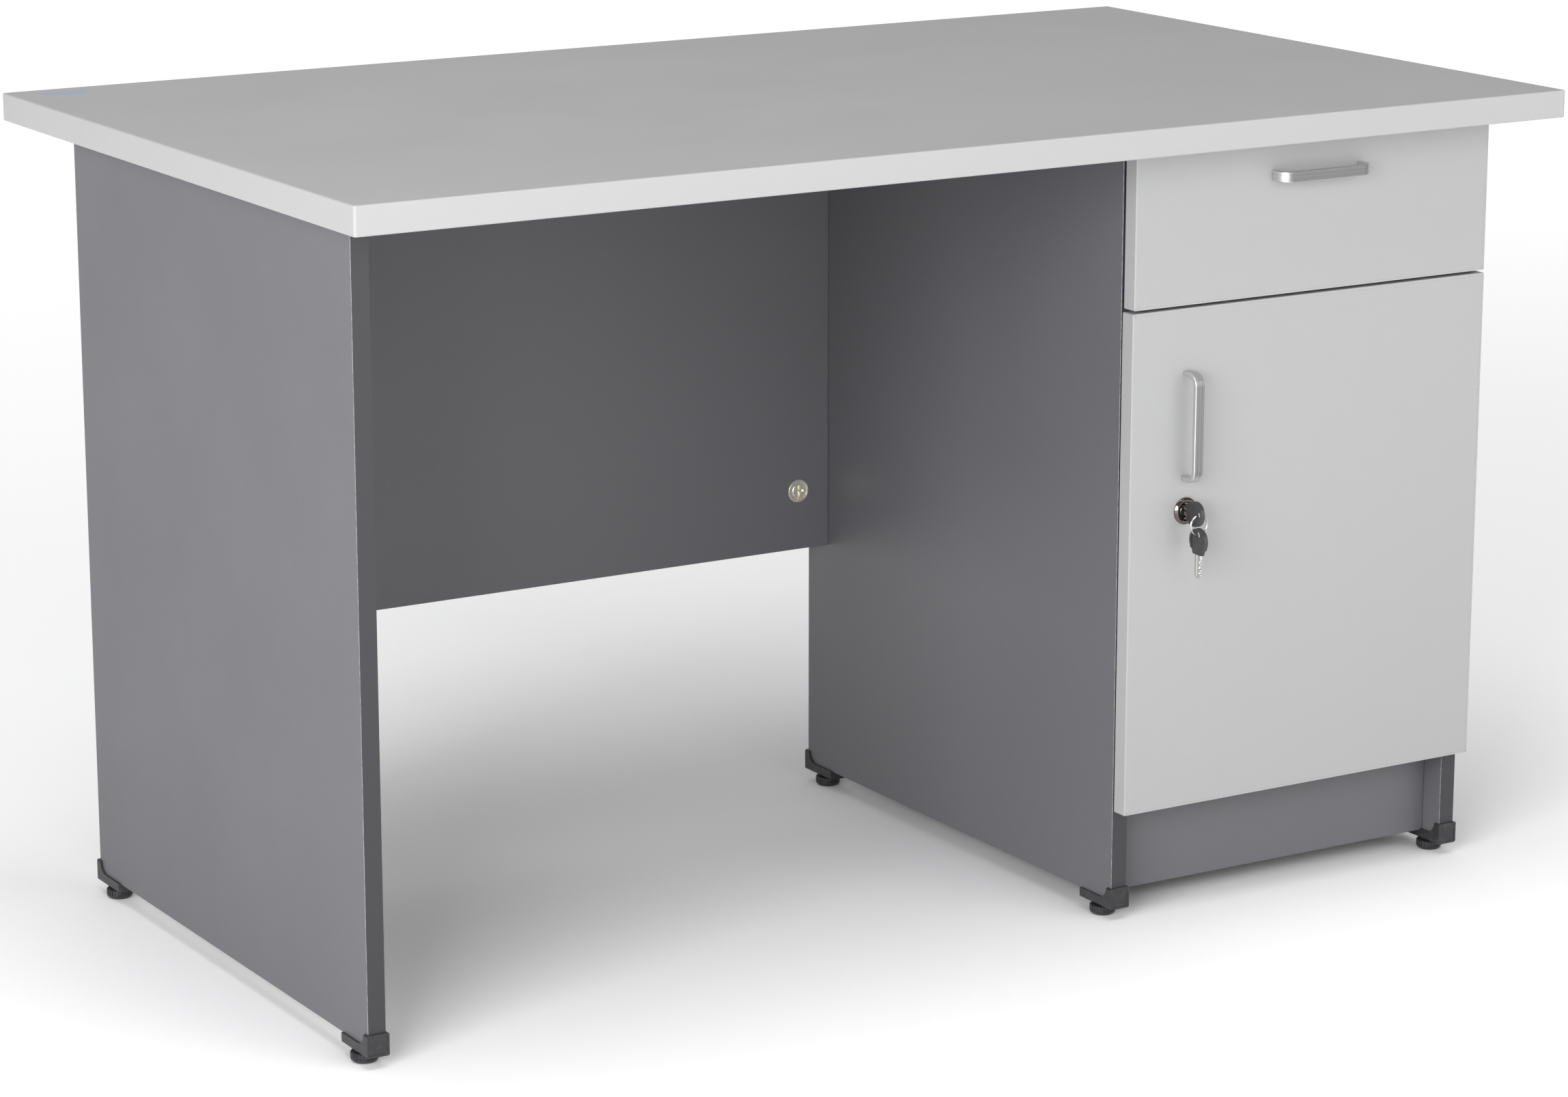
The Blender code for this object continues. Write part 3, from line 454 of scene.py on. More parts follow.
def add_dust(paint, specks, size, amount, colour=(0.55, 0.55, 0.56, 1)):
    """Lays the dust group between a finish's colour and its shader."""
    tree = paint.node_tree
    shader, effect = tree.nodes["Principled BSDF"], tree.nodes["effect"]
    settled = tree.nodes.new("ShaderNodeGroup")
    settled.node_tree = dust
    settled.name = "settled_dust"
    tree.links.new(node(tree, "ShaderNodeTexCoord").outputs["Object"], settled.inputs["Vector"])
    tree.links.new(effect.outputs["Colour"], settled.inputs["Colour"])
    settled.inputs["Dust Colour"].default_value = colour
    settled.inputs["Specks per Metre"].default_value = specks
    settled.inputs["Speck Size"].default_value = size
    settled.inputs["Amount"].default_value = amount
    tree.links.new(settled.outputs["Colour"], shader.inputs["Base Color"])
    return paint


# %% The desk's finishes
def grey(level):
    """A grey in linear light."""
    return (level, level, level, 1)


def laminate(name, colour, mottle, roughness, bump=0.000012):
    """A smooth board face or edge band."""
    return finish(
        name, laminate_grain, bump=bump, Colour=colour, Mottle=mottle, Roughness=roughness
    )


# The top and the fronts are one laminate. The top's copy is a shade darker, 0.345 against 0.350, as
# painted shade that sets how bright the top looks.
TOP_GREY = laminate("top_grey_laminate", grey(0.345), 0.06, 0.42)
FRONT_GREY = laminate("front_grey_laminate", grey(0.350), 0.05, 0.42)
BAND_GREY = laminate("grey_edge_band", grey(0.370), 0.04, 0.36, 0.00001)
CHARCOAL = laminate("charcoal_laminate", (0.119, 0.117, 0.127, 1), 0.12, 0.5, 0.000015)
CHARCOAL_BAND = laminate("charcoal_edge_band", (0.032, 0.0315, 0.036, 1), 0.1, 0.4, 0.00001)
DRAWER_FOIL = laminate("drawer_foil", grey(0.36), 0.05, 0.5)
HARDBOARD = finish(
    "painted_hardboard",
    laminate_grain,
    stretch=(1, 0.35, 1),
    bump=0.00005,
    Colour=grey(0.33),
    Mottle=0.16,
    Pebble_Scale=420.0,
    Roughness=0.65,
)
BLACK_PLASTIC = finish(
    "black_moulded_plastic",
    pebbled_skin,
    bump=0.00003,
    Colour=(0.022, 0.022, 0.024, 1),
    Roughness=0.42,
)
KEY_PLASTIC = finish(
    "key_head_plastic",
    pebbled_skin,
    bump=0.00002,
    Colour=(0.036, 0.036, 0.038, 1),
    Scuff_Amount=0.15,
    Roughness=0.38,
)

# %% Metals. Their lines are noise that is stretched along one axis
ALONG_X, ALONG_Y, ALONG_Z = (25, 2500, 2500), (2500, 25, 2500), (2500, 2500, 25)
FINE_GRAIN, CAST_GRAIN, WIPED_GRAIN = (900, 900, 900), (1200, 1200, 1200), (300, 300, 300)
# Where the painted dark reflection on a handle's front is full, and where it has faded out.
DARK_REFLECTION_FULL, DARK_REFLECTION_GONE = -0.97, -0.75


def drawn_metal(name, direction, colour, roughness, contrast=0.12, bump=0.000004, metallic=1.0):
    """A metal with fine lines, or with an even grain when all three scales are the same."""
    look = {"Colour": colour, "Contrast": contrast, "Roughness": roughness, "Spread": 0.12}
    return finish(name, drawn_lines, direction, bump, metallic, **look)


def painted_dark_reflection(paint, colour):
    """A painted dark reflection: a darker colour where a handle looks forward. It fades out round
    the bends.
    """
    tree = paint.node_tree
    shader = tree.nodes["Principled BSDF"]
    source = shader.inputs["Base Color"].links[0].from_socket
    facing = node(tree, "ShaderNodeTexCoord").outputs["Normal"]
    forward = node(tree, "ShaderNodeSeparateXYZ", [("Vector", facing)]).outputs["Y"]
    share = span(tree, forward, DARK_REFLECTION_FULL, DARK_REFLECTION_GONE, 1.0, 0.0)
    tree.links.new(mix(tree, share, source, colour), shader.inputs["Base Color"])
    return paint


ALUMINIUM_X = drawn_metal("satin_aluminium_across", ALONG_X, grey(0.66), 0.40)
ALUMINIUM_Z = drawn_metal("satin_aluminium_upright", ALONG_Z, grey(0.66), 0.40)
# The handles' forward faces get a painted dark reflection, a shade darker on the drawer's than on
# the door's.
painted_dark_reflection(ALUMINIUM_X, grey(0.20))
painted_dark_reflection(ALUMINIUM_Z, grey(0.24))
STEEL = drawn_metal("plated_steel", ALONG_Y, (0.63, 0.64, 0.66, 1), 0.30, 0.2)
NICKEL = drawn_metal("nickel", FINE_GRAIN, (0.68, 0.67, 0.63, 1), 0.20)
ZINC = drawn_metal("cast_zinc", CAST_GRAIN, (0.96, 0.91, 0.76, 1), 0.27, 0.5, 0.00002, 0.85)
CHROME = drawn_metal("lock_chrome", WIPED_GRAIN, (0.15, 0.13, 0.118, 1), 0.10, 0.1)
print("finishes:", len(bpy.data.materials))

# %% [markdown]
# ## The boards that keep their shape
#
# Most boards are plain laminated chipboard whose shape in the frame is already right, bores and
# all. They stay as they are and only change finish. On the uprights the material also paints a thin
# pale line beside the front edge band, from Object Y: a painted highlight along the edge.

# %% Painted edge highlight
EDGE_HIGHLIGHT_WIDE, HIGHLIGHT_BREAK_SCALE = 0.0009, 260.0


def painted_edge_highlight(paint, front, width, colour):
    """A painted highlight: a pale line, broken up by noise, beside the front edge, where y is less
    than front + width.
    """
    tree = paint.node_tree
    shader = tree.nodes["Principled BSDF"]
    source = shader.inputs["Base Color"].links[0].from_socket
    seat = node(tree, "ShaderNodeTexCoord").outputs["Object"]
    along = node(tree, "ShaderNodeSeparateXYZ", [("Vector", seat)]).outputs["Y"]
    highlight_breaks = span(tree, noise(tree, seat, HIGHLIGHT_BREAK_SCALE, 3.0), 0.35, 0.6, 0.25, 1.0)
    line = maths(tree, "LESS_THAN", along, front + width)
    line = maths(tree, "MULTIPLY", line, highlight_breaks)
    tree.links.new(mix(tree, line, source, colour), shader.inputs["Base Color"])
    return paint


add_dust(CHARCOAL, 110.0, 0.035, 0.4)
add_dust(TOP_GREY, 60.0, 0.035, 0.12, (0.75, 0.75, 0.75, 1))
# The uprights' charcoal carries the painted highlight along its front edge.
CHARCOAL_WITH_HIGHLIGHT = CHARCOAL.copy()
CHARCOAL_WITH_HIGHLIGHT.name = "charcoal_with_painted_highlight"
painted_edge_highlight(CHARCOAL_WITH_HIGHLIGHT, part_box("left_end_panel")[0].y, EDGE_HIGHLIGHT_WIDE, (0.32, 0.32, 0.335, 1))

# %% Boards that keep their shape
FRAME_FINISHES = {
    "left_end_panel": CHARCOAL_WITH_HIGHLIGHT,
    "pedestal_left_panel": CHARCOAL_WITH_HIGHLIGHT,
    "pedestal_right_panel": CHARCOAL_WITH_HIGHLIGHT,
    "modesty_panel": CHARCOAL,
    "plinth_board": CHARCOAL,
    "pedestal_floor": CHARCOAL,
    "pedestal_back_panel": CHARCOAL,
    "drawer_divider": CHARCOAL,
    "adjustable_shelf": CHARCOAL,
    "drawer_left_side": DRAWER_FOIL,
    "drawer_right_side": DRAWER_FOIL,
    "drawer_back": DRAWER_FOIL,
    "drawer_bottom": HARDBOARD,
}
for name, paint in FRAME_FINISHES.items():
    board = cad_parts[name]
    board.data.materials.clear()
    board.data.materials.append(paint)
print("boards painted:", len(FRAME_FINISHES))

# %% [markdown]
# ## Edge bands
#
# A cut chipboard edge is covered with a strip. Thin charcoal bands of 0.3 mm close the front edges
# of the uprights and the boards between them. The grey fronts and the top have a thicker 2 mm band
# on all four edges, and its rounded corners are what catches the light in a bright line. The band
# is a ring: a cube loses its two broad faces, its corners are bevelled, Solidify gives the wall.

# %% Thin bands on the charcoal boards
THIN_BAND = 0.0003
HAIR = 0.00002


def thin_band(node_name):
    """A strip on a board's front edge."""
    low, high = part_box(node_name)
    strip = block(
        f"{node_name}_front_band",
        (low.x, low.y - THIN_BAND - HAIR, low.z),
        (high.x, low.y - HAIR, high.z),
    )
    round_edges(strip, 0.4 * THIN_BAND)
    return place(strip, "desk", CHARCOAL_BAND, "charcoal_laminate")


for banded in (
    "left_end_panel",
    "pedestal_left_panel",
    "pedestal_right_panel",
    "drawer_divider",
    "pedestal_floor",
    "adjustable_shelf",
):
    thin_band(banded)


# %% A board inside a thick band
THICK_BAND, BAND_GAP = 0.0020, 0.00006
BOARD_CORNER, BOARD_EDGE = 0.001, 0.00008
TOP_CORNER, TOP_EDGE = 0.0028, 0.0011
FRONT_CORNER, FRONT_EDGE = 0.0015, 0.0008
THROUGH_Y, THROUGH_Z = 1, 2


def thick_band(name, low, high, thin, corner, edge_round):
    """A ring round a board. thin is the index of the axis through the board."""
    ring = block(name, low, high)
    edit(ring)
    pick("FACE", lambda middle, normal: abs(normal[thin]) > 0.9)
    bpy.ops.mesh.delete(type="ONLY_FACE")
    round_corners(ring, thin, corner, 4)
    apply(ring, "SOLIDIFY", thickness=THICK_BAND, offset=-1.0, use_even_offset=True)
    centre, half = (low + high) / 2, (high - low) / 2
    across = [axis for axis in range(3) if axis != thin]

    def outer_rim(middle, way):
        """The four outer edges of both broad sides."""
        rim = abs(abs(middle[thin] - centre[thin]) - half[thin]) < HAIR / 2
        reach = [half[axis] - abs(middle[axis] - centre[axis]) for axis in across]
        return rim and min(reach) < 0.45 * THICK_BAND

    edit(ring)
    pick("EDGE", outer_rim)
    bpy.ops.mesh.bevel(offset=edge_round, segments=3, affect="EDGES")
    clear()
    return tidy(ring)


def banded_core(name, low, high, thin):
    """The board itself, set inside its band."""
    inset = Vector([0 if axis == thin else THICK_BAND + BAND_GAP for axis in range(3)])
    core = round_corners(block(name, low + inset, high - inset), thin, BOARD_CORNER, 3)
    return round_edges(core, BOARD_EDGE, 1)


# %% Desktop
low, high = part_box("desktop")
top_board = banded_core("desktop_board", low, high, THROUGH_Z)
place(top_board, "desk", TOP_GREY, "light_grey_laminate", "desktop")
top_band = thick_band("desktop_edge_band", low, high, THROUGH_Z, TOP_CORNER, TOP_EDGE)
place(top_band, "desk", BAND_GREY, "light_grey_laminate", "desktop")

# %% Drawer front
low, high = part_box("drawer_front")
front_board = banded_core("drawer_front_board", low, high, THROUGH_Y)
place(front_board, "drawer", FRONT_GREY, "light_grey_laminate", "drawer_front")
front_band = thick_band(
    "drawer_front_edge_band", low, high, THROUGH_Y, FRONT_CORNER, FRONT_EDGE
)
place(front_band, "drawer", BAND_GREY, "light_grey_laminate", "drawer_front")

# %% Door, with its bores for the lock and the two hinge cups
CUP_BORE, CUP_BORE_DEPTH, LOCK_BORE = 0.0178, 0.0113, 0.0093
low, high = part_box("door_panel")
lock_at = centre_of("lock_housing")
door_board = banded_core("door_board", low, high, THROUGH_Y)
carve(door_board, rod("lock_bore", lock_at, LOCK_BORE, 0.08, "Y", 48))
for level in ("lower", "upper"):
    cup_at = centre_of(f"hinge_cup_{level}")
    cup_at.y = high.y
    carve(door_board, rod("cup_bore", cup_at, CUP_BORE, 2 * CUP_BORE_DEPTH, "Y", 64))
place(door_board, "door", FRONT_GREY, "light_grey_laminate", "door_panel")
door_band = thick_band("door_edge_band", low, high, THROUGH_Y, FRONT_CORNER, FRONT_EDGE)
place(door_band, "door", BAND_GREY, "light_grey_laminate", "door_panel")

# %% [markdown]
# ## Bow handles
#
# Each handle is a drawn aluminium strip bent into a bow, with two fine grooves along its outer
# face. It is made as it is bent: a cross-section that is extruded for the leg, spun for the bend,
# extruded for the bar, and so on. The grooves are strips of that section, pushed in afterwards.

# %% Handle
HANDLE_CORNER, HANDLE_EDGE, HANDLE_THICK = 0.012, 0.0011, 0.0047
GROOVE_AT, GROOVE_WIDE, GROOVE_DEEP = 0.0017, 0.0006, 0.00035


def sweep(shift):
    """Extrudes what is selected."""
    bpy.ops.mesh.extrude_region_move(TRANSFORM_OT_translate={"value": shift})


def bend(centre):
    """Turns the held end a quarter turn about a vertical axis."""
    bpy.ops.mesh.spin(steps=12, angle=math.pi / 2, center=centre, axis=(0, 0, -1))


def bow_handle(name, length, reach, wide, thick):
    """A bow along X at the origin. Its legs stand on y = 0 and its bar is at y = -reach."""
    clear()
    bpy.ops.mesh.primitive_plane_add(size=1.0, rotation=(math.pi / 2, 0, 0))
    bpy.context.object.scale = (thick, wide, 1)
    bpy.context.object.location = (-(length - thick) / 2, 0, 0)
    bow = settle(name)
    edit(bow)
    pick_all()
    bpy.ops.mesh.bevel(offset=HANDLE_EDGE, segments=4, affect="VERTICES")
    for line in (GROOVE_AT, -GROOVE_AT):
        for side in (-0.5, 0.5):
            pick_all()
            cut_at = (0, 0, line + side * GROOVE_WIDE)
            bpy.ops.mesh.bisect(plane_co=cut_at, plane_no=(0, 0, 1))
    bpy.ops.mesh.select_mode(type="FACE")
    pick_all()
    straight = reach - HANDLE_CORNER
    turn_x = length / 2 - HANDLE_CORNER
    sweep((0, -straight, 0))
    bend((-turn_x, -straight, 0))
    sweep((2 * turn_x, 0, 0))
    bend((turn_x, -straight, 0))
    sweep((0, straight, 0))
    clear()
    tidy(bow)

    def groove(middle, normal):
        """The narrow strips on the outer face."""
        outer = normal.x * middle.x + normal.y * middle.y > reach / 4
        return outer and abs(abs(middle.z) - GROOVE_AT) < GROOVE_WIDE / 2

    edit(bow)
    pick("FACE", groove)
    bpy.ops.mesh.inset(thickness=GROOVE_WIDE / 10, depth=-GROOVE_DEEP)
    clear()
    return bow


low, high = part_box("drawer_handle")
HANDLE_LENGTH, HANDLE_REACH, HANDLE_WIDE = high - low
handle_at = {}
for body, turn, paint in (
    ("drawer", (0, 0, 0), ALUMINIUM_X),
    ("door", TURNS["X"], ALUMINIUM_Z),
):
    seat = centre_of(f"{body}_handle")
    seat.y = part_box(f"{body}_handle")[1].y
    handle_at[body] = seat
    bow = bow_handle(
        f"{body}_bow_handle", HANDLE_LENGTH, HANDLE_REACH, HANDLE_WIDE, HANDLE_THICK
    )
    set_down(bow, seat, turn)
    place(bow, body, paint, "satin_aluminium", f"{body}_handle")

# %% [markdown]
# ## Turned pieces
#
# Feet, lock, connectors and screws are all turned. A lathe profile is easy to read as a list of
# radius and height, so `stack` starts with a filled circle, extrudes it to each next height and
# resizes it. Where the list goes back down, the piece is hollow.

# %% Stacking and facing
FRONT, BACK, LEFT = (math.pi / 2, 0, 0), (-math.pi / 2, 0, 0), (0, -math.pi / 2, 0)


def stack(name, steps, sides=48):
    """A turned piece on the Z axis, from (radius, height) steps."""
    clear()
    radius, height = steps[0]
    bpy.ops.mesh.primitive_circle_add(
        vertices=sides, radius=radius, fill_type="NGON", location=(0, 0, height)
    )
    piece = settle(name)
    edit(piece)
    pick_all()
    for next_radius, next_height in steps[1:]:
        sweep((0, 0, next_height - height))
        share = next_radius / radius
        bpy.ops.transform.resize(value=(share, share, 1), center_override=(0, 0, next_height))
        radius, height = next_radius, next_height
    clear()
    return tidy(piece)


def cross_head(name, radius, rise, facing, at):
    """The head of a wood screw with a cross recess, on the surface where it is driven in."""
    dome = [(radius, 0), (radius, 0.3 * rise), (0.86 * radius, 0.8 * rise), (0.55 * radius, rise)]
    head = stack(name, dome, 24)
    arm, wide = 0.58 * radius, 0.13 * radius
    for half_x, half_y in ((arm, wide), (wide, arm)):
        carve(head, block("recess", (-half_x, -half_y, 0.35 * rise), (half_x, half_y, 2 * rise)))
    return set_down(head, at, facing)


def screw_heads(radius, rise, facing, seats):
    """Screw heads of one size, one for each seat."""
    return [cross_head("screw", radius, rise, facing, seat) for seat in seats]


# %% Screws of the handles, on the backs of the fronts
HANDLE_SCREWS = (HANDLE_LENGTH - HANDLE_THICK) / 2
fronts_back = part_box("drawer_front")[1].y
for body, way in (("drawer", Vector((1, 0, 0))), ("door", Vector((0, 0, 1)))):
    middle = handle_at[body].copy()
    middle.y = fronts_back + HAIR
    seats = [middle + side * HANDLE_SCREWS * way for side in (-1, 1)]
    heads = screw_heads(0.0042, 0.0024, BACK, seats)
    place(join(f"{body}_handle_screws", heads), body, STEEL, "plated_steel")

# %% [markdown]
# ## Corner shoes and levelling feet
#
# A moulded shoe closes each lower corner of the uprights. Its sides are high at the end and sweep
# down to a low lip. The foot under it is a ribbed disc on a threaded stud, so a hand can turn it.
# One shoe and one foot are modelled at the origin and copied, the rear shoes turned half round.

# %% Shoe
low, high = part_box("left_panel_front_shoe")
board_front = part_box("left_end_panel")[0].y
SHOE_OUT, SHOE_END = low.y - board_front, high.y - board_front
SHOE_HALF = (high.x - low.x) / 2
SHOE_BOTTOM, SHOE_TOP, SHOE_LIP, SHOE_RUN = low.z, high.z, 0.020, 0.005
LOWER_ROUND, UPPER_CHAMFER, SHOE_EDGE = 0.0018, 0.0011, 0.00035
POCKET_HALF, POCKET_FRONT, POCKET_FLOOR = 0.00835, -0.00035, 0.0187
BORDER, BORDER_DEEP = 0.0020, 0.0004
FOOT_SET_IN, STUD_BORE = 0.0245, 0.0046

shoe = block("shoe", (-SHOE_HALF, SHOE_OUT, SHOE_BOTTOM), (SHOE_HALF, SHOE_END, SHOE_TOP))
edit(shoe)
pick("EDGE", lambda middle, way: abs(way.y) > 0.9 and middle.z < SHOE_LIP)
bpy.ops.mesh.bevel(offset=LOWER_ROUND, segments=4, affect="EDGES")
pick("EDGE", lambda middle, way: abs(way.y) > 0.9 and middle.z > SHOE_LIP)
bpy.ops.mesh.bevel(offset=UPPER_CHAMFER, segments=1, affect="EDGES")
clear()
scoop = SHOE_TOP - SHOE_LIP
carve(shoe, rod("scoop", (0, SHOE_RUN + scoop, SHOE_TOP), scoop, 0.1, "X", 64))
carve(shoe, block("above_lip", (-1, SHOE_RUN + scoop, SHOE_LIP), (1, 1, 1)))
carve(shoe, block("pocket", (-POCKET_HALF, POCKET_FRONT, POCKET_FLOOR), (POCKET_HALF, 1, 1)))
carve(shoe, rod("stud_bore", (0, FOOT_SET_IN, SHOE_BOTTOM), STUD_BORE, 0.03, "Z", 32))
border_low = Vector((BORDER - SHOE_HALF, -1, SHOE_BOTTOM + BORDER))
border_high = Vector((SHOE_HALF - BORDER, SHOE_OUT + BORDER_DEEP, SHOE_TOP - BORDER))
carve(shoe, block("end_face_border", border_low, border_high))
tidy(shoe)
round_edges(shoe, SHOE_EDGE, 2, 30)
print("shoe:", [round(value, 4) for value in shoe.dimensions])

# %% Foot
low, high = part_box("left_panel_front_foot")
FOOT_RADIUS, STUD_TOP = (high.x - low.x) / 2, high.z
FOOT_HEIGHT, STUD_RADIUS, STUD_ROOT, THREAD_PITCH = 0.009, 0.004, 0.0034, 0.0013
RIBS = 24
RIB_ZONE, RIB_GAP_DEEP = 0.0110, 0.0006
profile = [(0.0086, 0), (0.0099, 0.0004), (0.0110, 0.0013), (0.0117, 0.0024)]
profile += [(FOOT_RADIUS, 0.0036)]
profile += [(FOOT_RADIUS, 0.0082), (FOOT_RADIUS - 0.0008, FOOT_HEIGHT), (STUD_ROOT, FOOT_HEIGHT)]
turn_height = FOOT_HEIGHT + 0.0008
while turn_height + THREAD_PITCH < STUD_TOP:
    profile += [
        (STUD_ROOT, turn_height),
        (STUD_RADIUS, turn_height + 0.4 * THREAD_PITCH),
        (STUD_RADIUS, turn_height + 0.5 * THREAD_PITCH),
        (STUD_ROOT, turn_height + 0.9 * THREAD_PITCH),
    ]
    turn_height += THREAD_PITCH
profile.append((STUD_ROOT, STUD_TOP))
foot = stack("foot", profile, 2 * RIBS)


def between_ribs(middle, normal):
    """Every second face of the disc's rim."""
    step = round((math.atan2(middle.y, middle.x) / math.pi * RIBS) - 0.5)
    return abs(normal.z) < 0.1 and math.hypot(middle.x, middle.y) > RIB_ZONE and step % 2 == 0


edit(foot)
pick("FACE", between_ribs)
bpy.ops.mesh.inset(use_individual=True, thickness=0.0002, depth=-RIB_GAP_DEEP)
clear()
print("foot:", [round(value, 4) for value in foot.dimensions], len(foot.data.polygons), "faces")

# %% Six of each
HALF_TURN = (0, 0, math.pi)
for board, label in (
    ("left_end_panel", "left_panel"),
    ("pedestal_left_panel", "pedestal_left"),
    ("pedestal_right_panel", "pedestal_right"),
):
    low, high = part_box(board)
    middle = (low.x + high.x) / 2
    for end, edge, inward, turn in (
        ("front", low.y, 1, (0, 0, 0)),
        ("rear", high.y, -1, HALF_TURN),
    ):
        corner = copy(shoe, f"{label}_{end}_corner_shoe")
        set_down(corner, (middle, edge, 0), turn)
        place(corner, "desk", BLACK_PLASTIC, "black_plastic", f"{label}_{end}_shoe")
        screw_foot = copy(foot, f"{label}_{end}_levelling_foot")
        set_down(screw_foot, (middle, edge + inward * FOOT_SET_IN, 0))
        node_name = f"{label}_{end}_foot"
        place(screw_foot, node_name, BLACK_PLASTIC, "black_plastic", node_name)
for pattern in (shoe, foot):
    bpy.data.objects.remove(pattern)

# %% [markdown]
# ## Connectors of the modesty panel
#
# Two cast cams sit in the panel's lower corners and pull it tight against the uprights. Each has a
# raised rim, a sunk ring, and a boss with a cross slot for the screwdriver and a small stop.

# %% Cam connectors
SLOT_LONG, SLOT_HALF, SLOT_FLOOR = 0.0056, 0.0010, -0.0008
STOP_AT, STOP_RADIUS, STOP_TIP = (0, -0.0079, 0.0007), 0.0011, 0.0007
connector = stack(
    "connector",
    [
        (0.0098, -0.0125),
        (0.0100, -0.0120),
        (0.0100, 0.0003),
        (0.0115, 0.0003),
        (0.0115, 0.0010),
        (0.0111, 0.0015),
        (0.0096, 0.0015),
        (0.0091, 0.0007),
        (0.0067, 0.0007),
        (0.0063, 0.0013),
    ],
    64,
)
for half_x, half_y in ((SLOT_LONG, SLOT_HALF), (SLOT_HALF, SLOT_LONG)):
    carve(connector, block("slot", (-half_x, -half_y, SLOT_FLOOR), (half_x, half_y, 0.01)))
carve(connector, rod("stop", STOP_AT, STOP_RADIUS, 0.0012, "Z", 16, STOP_TIP), "UNION")
round_edges(connector, 0.00015, 1, 30)
for side in ("left", "right"):
    seat = centre_of(f"modesty_connector_{side}")
    seat.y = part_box("modesty_panel")[0].y
    cam = set_down(copy(connector, f"{side}_cam_connector"), seat, FRONT)
    place(cam, "desk", ZINC, "zinc", f"modesty_connector_{side}")
bpy.data.objects.remove(connector)

# %% [markdown]
# ## Lock
#
# The cam lock goes through the door. In front is a polished rosette with a sloping flank and a
# shallow dish round the plug, and behind the door the barrel is threaded for the nut. The plug
# turns in it, with a keyway that the blade slides into.

# %% Rosette and barrel
lock_face = Vector((lock_at.x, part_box("door_panel")[0].y, lock_at.z))
BARREL, BARREL_BACK, BORE = 0.0090, 0.0257, 0.0063
THREAD_DEEP, LOCK_PITCH, THREAD_END, ROSETTE, REST = 0.0004, 0.0011, -0.0170, 0.0123, 0.00008
barrel = [(BARREL - THREAD_DEEP, -BARREL_BACK), (BARREL, THREAD_DEEP - BARREL_BACK)]
thread = 0.0012 - BARREL_BACK
while thread < THREAD_END:
    barrel += [
        (BARREL, thread),
        (BARREL - THREAD_DEEP, thread + THREAD_DEEP),
        (BARREL, thread + 2 * THREAD_DEEP),
    ]
    thread += LOCK_PITCH
barrel += [(BARREL, REST), (ROSETTE, REST), (ROSETTE, 0.0011), (0.0121, 0.0014)]
barrel += [(0.0103, 0.0031), (0.0099, 0.0033), (0.0092, 0.0033), (0.0089, 0.0031)]
barrel += [(0.0076, 0.0013), (0.0068, 0.0011)]
rosette = stack("lock_rosette_and_barrel", barrel, 72)
carve(rosette, rod("lock_bore", (0, 0, 0), BORE, 0.1, "Z", 48))
set_down(rosette, lock_face, FRONT)
place(rosette, "door", CHROME, "chrome", "lock_housing", smooth=28)

# %% Plug with its keyway
KEYWAY_HALF, KEYWAY_HEIGHT, KEYWAY_FRONT, KEYWAY_BACK = 0.0012, 0.0045, 0.0066, 0.0220
plug = stack(
    "lock_plug_turned",
    [(0.0035, -0.0307), (0.0035, -0.0257), (0.0060, -0.0257), (0.0060, 0.0013), (0.0057, 0.0016)],
    48,
)
set_down(plug, lock_face, FRONT)
keyway_low = lock_face - Vector((KEYWAY_HALF, KEYWAY_FRONT, KEYWAY_HEIGHT))
keyway_high = lock_face + Vector((KEYWAY_HALF, KEYWAY_BACK, KEYWAY_HEIGHT))
carve(plug, block("keyway", keyway_low, keyway_high))
place(plug, "lock_and_key", CHROME, "chrome", "lock_plug")

# %% [markdown]
# ## Keys
#
# A key is a nickel blade in a moulded head. The head is a round plate that narrows to a neck, with
# a raised rim that fades out towards the neck. It is drawn flat: a circle is cut off straight, its
# cut edge is extruded into the neck, and the outline is then given its thickness.

# %% Key head, lying along X with the ring's end at the origin
HEAD_RADIUS, HEAD_LENGTH, HEAD_THICK, HEAD_CUT = 0.0115, 0.0240, 0.0040, 0.0150
SHOULDER_AT, SHOULDER_HALF, NECK_START, NECK_END = 0.0190, 0.0096, 0.0088, 0.0070
RIM_WIDE, RIM_DEEP, RIM_FADE = 0.0023, 0.0008, 0.0011
RING_HOLE, RING_HOLE_AT = 0.0030, 0.0060
NECK = (
    (SHOULDER_AT, SHOULDER_HALF),
    (SHOULDER_AT + 0.0002, NECK_START),
    (HEAD_LENGTH, NECK_END),
)

clear()
bpy.ops.mesh.primitive_circle_add(
    vertices=64, radius=HEAD_RADIUS, fill_type="NGON", location=(HEAD_RADIUS, 0, -HEAD_THICK / 2)
)
head = settle("key_head_pattern")
edit(head)
pick_all()
bpy.ops.mesh.bisect(plane_co=(HEAD_CUT, 0, 0), plane_no=(1, 0, 0), clear_outer=True)
width = 2 * math.sqrt(HEAD_RADIUS**2 - (HEAD_CUT - HEAD_RADIUS) ** 2)
along = HEAD_CUT
for next_along, half in NECK:
    pick("EDGE", lambda middle, way: abs(way.y) > 0.9 and abs(middle.x - along) < HAIR)
    sweep((next_along - along, 0, 0))
    bpy.ops.transform.resize(value=(1, 2 * half / width, 1), center_override=(next_along, 0, 0))
    along, width = next_along, 2 * half
pick_all()
bpy.ops.mesh.dissolve_limited(angle_limit=math.radians(1))
pick_all()
sweep((0, 0, HEAD_THICK))
clear()
tidy(head)
sunk = HEAD_RADIUS - RIM_WIDE
